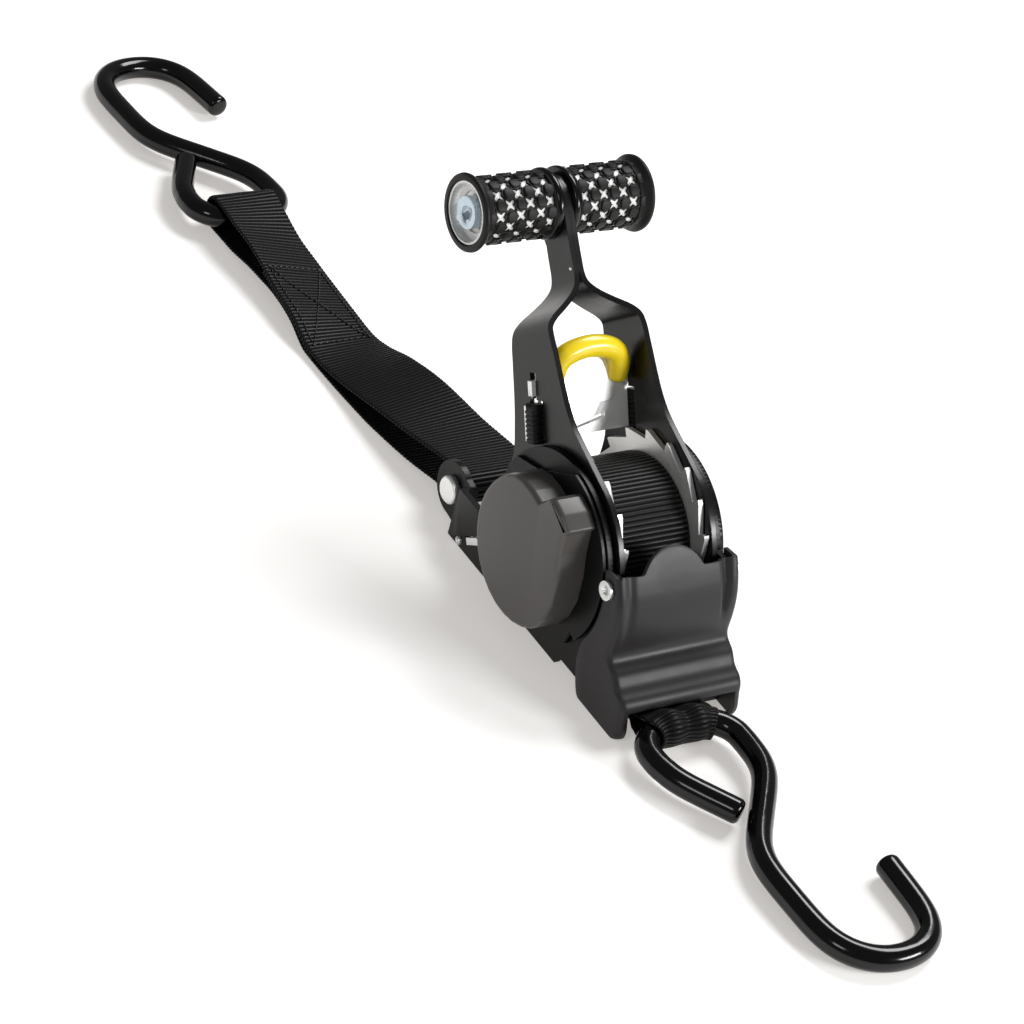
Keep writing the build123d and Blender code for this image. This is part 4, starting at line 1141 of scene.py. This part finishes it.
# ---- Fixed strap --------------------------------------------------------
# One length of the same webbing round the rear pin and the hook eye, its
# ends lapped and sewn with a box and cross; it lies slightly twisted.
side_drift = [(-325, -7), (-294, -7), (-270, -5.6), (-240, -6.6), (-200, -8.3), (-160, -7.0), (-125, -4.0),
              (-95, -0.8), (-60, 0)]
half_widths = [(-325, 16.2), (-300, 16.3), (-280, 17.6), (-250, 18.4), (-120, 18.7), (-85, 18.9), (-60, 18.9)]
upper_keys = [(-310.6, 17.25), (-297, 15.2), (-281, 11.6), (-262, 9.0), (-245, 7.4), (-225, 6.6), (-206, 4.4),
              (-192, 5.6), (-174, 9.6), (-150, 14.0), (-116, 16.9), (-93, 19.6), (-79, 21.65)]
upper_rolls = [(-310.6, 2), (-297, -5), (-281, -13), (-262, -13), (-245, -10), (-225, -8), (-206, 0),
               (-192, 6), (-174, 13), (-150, 13), (-116, 4), (-93, 0), (-79, 0)]
lower_keys = [(-310.6, 2.55), (-297, 2.2), (-281, 2.4), (-262, 3.5), (-245, 4.4), (-225, 3.6), (-206, 1.0),
              (-192, 0.95), (-174, 0.95), (-150, 1.3), (-116, 3.2), (-93, 6.4), (-79, 8.35)]
lower_rolls = [(-310.6, 2), (-297, -2), (-281, -5), (-262, -8), (-245, -10), (-225, -8), (-206, 0), (-79, 0)]


EYE_END = (-310.6, -7, 9.9)      # middle of the turn round the hook eye
PIN_END = (-79, 0, 15)           # and of the one round the rear bush
STRAP_REACH = PIN_END[0] - EYE_END[0]


def strap_station(x, heights, rolls):
    # the strap's middle, its sideways direction and its half width at x
    roll = radians(smooth_line(rolls, x))
    half = smooth_line(half_widths, x)
    z = smooth_line(heights, x)
    if heights is lower_keys:
        z = max(z, 1.05 + abs(sin(roll)) * half)
    return Vector((x, smooth_line(side_drift, x), z)), Vector((0, -cos(roll), -sin(roll))), half


def turn_round(end, radius, first, half):
    # half a turn about one end, from that angle on
    turn = []
    for i in range(1, 16):
        a = first + pi * i / 16
        middle = Vector((end[0] + radius * cos(a), end[1], end[2] + radius * sin(a)))
        turn.append((middle, Vector((0, -1, 0)), half))
    return turn


stations = [strap_station(PIN_END[0] - STRAP_REACH * i / 115, upper_keys, upper_rolls) for i in range(116)]
stations += turn_round(EYE_END, 7.35, pi / 2, 16.2)
stations += [strap_station(EYE_END[0] + STRAP_REACH * i / 115, lower_keys, lower_rolls) for i in range(116)]
stations += turn_round(PIN_END, 6.65, -pi / 2, 18.9)
fixed_strap = ribbed_band("fixed_strap", stations, webbing, True, columns=14)
tail_keys = [(-258, 7.3), (-245, 5.9), (-225, 5.1), (-206, 2.8), (-199, 2.5)]
stations = [strap_station(-258 + 59 * i / 40, tail_keys, upper_rolls) for i in range(41)]
lapped_end = ribbed_band("fixed_strap_lap", stations, webbing, False, columns=14)
# bonded thread: black, with a slight shine along each stitch
thread, tree, shader = new_finish("black bonded nylon thread")
where = add(tree, "ShaderNodeTexCoord")
twist = add(tree, "ShaderNodeTexNoise", {"Vector": where.outputs["Object"], "Scale": 3000.0, "Detail": 2.0})
tint = add(tree, "ShaderNodeMix", {"Factor": twist.outputs[0], "A": linear("#0b0b0b"),
                                   "B": linear("#1c1c1b")}, data_type="RGBA")
tree.links.new(tint.outputs[2], shader.inputs["Base Color"])
shader.inputs["Roughness"].default_value = 0.3


THREAD_UP = 0.42                 # the thread over the webbing


def on_strap(x, share):
    # a place on top of the sewn end, share running from -1 to 1 across it
    middle, side, half = strap_station(x, upper_keys, upper_rolls)
    ahead = strap_station(x + 1, upper_keys, upper_rolls)[0]
    up = (ahead - middle).cross(-side).normalized()
    if up.z < 0:
        up = -up
    return middle + side * share * half + up * (WEB / 2 + THREAD_UP)


seams = []
corners_at = [(-259, -0.8), (-259, 0.8), (-205, 0.8), (-205, -0.8)]
for a, b in ((0, 1), (1, 2), (2, 3), (3, 0), (0, 2), (1, 3)):
    first, last = corners_at[a], corners_at[b]
    seams.append([on_strap(first[0] + (last[0] - first[0]) * k / 30, first[1] + (last[1] - first[1]) * k / 30)
                  for k in range(31)])
seam_points, seam_edges = [], []
for seam in seams:
    for k, p in enumerate(seam):
        if k:
            seam_edges.append((len(seam_points) - 1, len(seam_points)))
        seam_points.append(p * mm)
seam_mesh = bpy.data.meshes.new("seam_lines")
seam_mesh.from_pydata(seam_points, seam_edges, [])
stitches = bpy.data.objects.new("strap_stitches", seam_mesh)
scene.collection.objects.link(stitches)
STITCH_SIDES = 6
stitch_outline = [(-1.25, 0.12), (-0.9, 0.34), (0.9, 0.34), (1.25, 0.12)]
points = []
for x, r in stitch_outline:
    for k in range(STITCH_SIDES):
        a = 2 * pi * k / STITCH_SIDES
        points.append((x, r * cos(a), r * sin(a) - (0.15 if abs(x) > 1 else 0)))
faces = side_faces(len(stitch_outline), STITCH_SIDES) + end_faces(len(stitch_outline), STITCH_SIDES)
one_stitch = place_mesh("one_stitch", points, faces, thread)
outward(one_stitch)
group = bpy.data.node_groups.new("run of stitches", "GeometryNodeTree")
group.is_modifier = True
group.interface.new_socket("Lines", in_out="INPUT", socket_type="NodeSocketGeometry")
for title, kind in (("Stitch", "NodeSocketObject"), ("Pitch", "NodeSocketFloat"),
                    ("Finish", "NodeSocketMaterial")):
    group.interface.new_socket(title, in_out="INPUT", socket_type=kind)
group.interface.new_socket("Seam", in_out="OUTPUT", socket_type="NodeSocketGeometry")
start = add(group, "NodeGroupInput")
end = add(group, "NodeGroupOutput")
lines = add(group, "GeometryNodeMeshToCurve", {"Mesh": start.outputs["Lines"]})
even = add(group, "GeometryNodeResampleCurve", {"Curve": lines.outputs[0], "Length": start.outputs["Pitch"]},
           mode="LENGTH")
heading = add(group, "GeometryNodeInputTangent")
turn = add(group, "FunctionNodeAlignRotationToVector", {"Vector": heading.outputs[0]}, axis="X")
shape_in = add(group, "GeometryNodeObjectInfo", {"Object": start.outputs["Stitch"]})
copies = add(group, "GeometryNodeInstanceOnPoints", {"Points": even.outputs[0],
                                                     "Instance": shape_in.outputs["Geometry"],
                                                     "Rotation": turn.outputs[0]})
real = add(group, "GeometryNodeRealizeInstances", {0: copies.outputs[0]})
dressed = add(group, "GeometryNodeSetMaterial", {"Geometry": real.outputs[0],
                                                 "Material": start.outputs["Finish"]})
group.links.new(dressed.outputs[0], end.inputs[0])
run_tree(stitches, group, {"Stitch": one_stitch, "Pitch": 3.1 * mm, "Finish": thread})
bpy.data.objects.remove(one_stitch)
stitches.data.polygons.foreach_set("use_smooth", [True] * len(stitches.data.polygons))
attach(stitches, "rear_strap")
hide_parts("rear_strap")
for piece in (fixed_strap, lapped_end):
    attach(piece, "rear_strap")
# the strap turns on a black nylon bush that fills the frame between its plates
bush_nylon = moulded("turned black nylon bush", "#0a0a0a", "#121211", 0.4, 1500.0, 0.00002)
pressed("rear_bush", "frame", bush_nylon)


# ---- Front webbing ------------------------------------------------------
# The end of the spool webbing runs out under the lever and goes round the
# hook eye, which gathers it in two folds.
EYE = Vector((82.5, -5.4, 8.9))
# legs are (x, height) of the flat runs, turns are degrees round the eye
trail = [("leg", 58.0, 10.4), ("leg", 66.0, 10.5), ("leg", 73.2, 11.0), ("turn", 90), ("turn", 70),
         ("turn", 48), ("turn", 25), ("turn", 0), ("turn", -25), ("turn", -48), ("turn", -70),
         ("turn", -92), ("leg", 73.2, 4.4), ("leg", 66.0, 7.3), ("leg", 58.0, 8.7)]


def eye_line(a):
    # place and outward direction along the eye's end of the hook wire
    straight, bend = 8.9, 14.0
    if abs(a) <= straight:
        return Vector((EYE.x, EYE.y + a, EYE.z)), Vector((-1, 0, 0))
    turn = (abs(a) - straight) / bend
    sign = 1 if a > 0 else -1
    return (Vector((EYE.x + bend * (1 - cos(turn)), EYE.y + sign * (straight + bend * sin(turn)), EYE.z)),
            Vector((-cos(turn), sign * sin(turn), 0)))


BEND_HALF = 17.2                 # half the width along the eye, and on the legs
LEG_HALF = 18.6
LEG_END, LEG_LONG = 73.5, 15.5
EYE_REACH = 6.7                  # from the wire's middle to the webbing's
FOLD_RISE, FOLD_SIDE, FOLD_WIDE = 3.3, 6.6, 4.6


def trail_point(across, step):
    # across runs from -1 to 1, step along the trail
    a = across * BEND_HALF
    fold = FOLD_RISE * exp(-((abs(a) - FOLD_SIDE) / FOLD_WIDE) ** 2)
    i = min(int(step), len(trail) - 2)
    t = step - i
    spots = []
    for kind in (trail[i], trail[i + 1]):
        place, out = eye_line(a)
        if kind[0] == "leg":
            share = (LEG_END - kind[1]) / LEG_LONG
            y = place.y * (1 - share) + (across * LEG_HALF) * share
            spots.append(Vector((kind[1], y, kind[2] + fold * 0.12 * (1 - share))))
        else:
            angle = radians(kind[1])
            reach = EYE_REACH + fold * 0.8 * (0.5 + 0.5 * sin(max(-pi / 2, min(pi / 2, angle * 1.3))))
            spots.append(place - out * reach * cos(angle) + Vector((0, 0, reach * sin(angle))))
    return spots[0].lerp(spots[1], t)


LOOP_STEPS = 6                   # rows along one rib
rows = 26 * LOOP_STEPS
columns = 48
points, where, grid = [], [], []
for n in range(rows + 1):
    grid.append([trail_point(-1 + 2 * j / columns, (len(trail) - 1) * n / rows) for j in range(columns + 1)])
for n in range(rows + 1):
    for sign in (1, -1):
        for j in range(columns + 1):
            jj = j if sign > 0 else columns - j
            here = grid[n][jj]
            along = grid[min(n + 1, rows)][jj] - grid[max(n - 1, 0)][jj]
            sideways = grid[n][min(jj + 1, columns)] - grid[n][max(jj - 1, 0)]
            up = sideways.cross(along).normalized()
            ridge = 0.8 * abs(sin(pi * (n % LOOP_STEPS) / LOOP_STEPS)) ** 0.6 - 0.45
            rim = 1.0 if 0 < jj < columns else 0.3
            points.append(here + up * sign * -(WEB / 2 - 0.15 + ridge) * rim)
            where.append((n / LOOP_STEPS, (jj / columns - 0.5) * 2 * WEB_HALF * mm))
ring = (columns + 1) * 2
faces = side_faces(rows + 1, ring) + end_faces(rows + 1, ring)
front_loop = place_mesh("front_webbing_loop", points, faces, webbing)
layer = front_loop.data.uv_layers.new(name="along")
for loop in front_loop.data.loops:
    layer.data[loop.index].uv = where[loop.vertex_index]
outward(front_loop)
stations = [(Vector((-20 + 80 * i / 60, 0, 9.9)), Vector((0, -1, 0)), 18.8) for i in range(61)]
run_out = ribbed_band("front_webbing_run", stations, webbing, False, columns=14)
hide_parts("front_strap")
for piece in (front_loop, run_out):
    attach(piece, "front_strap")

bpy.context.view_layer.update()
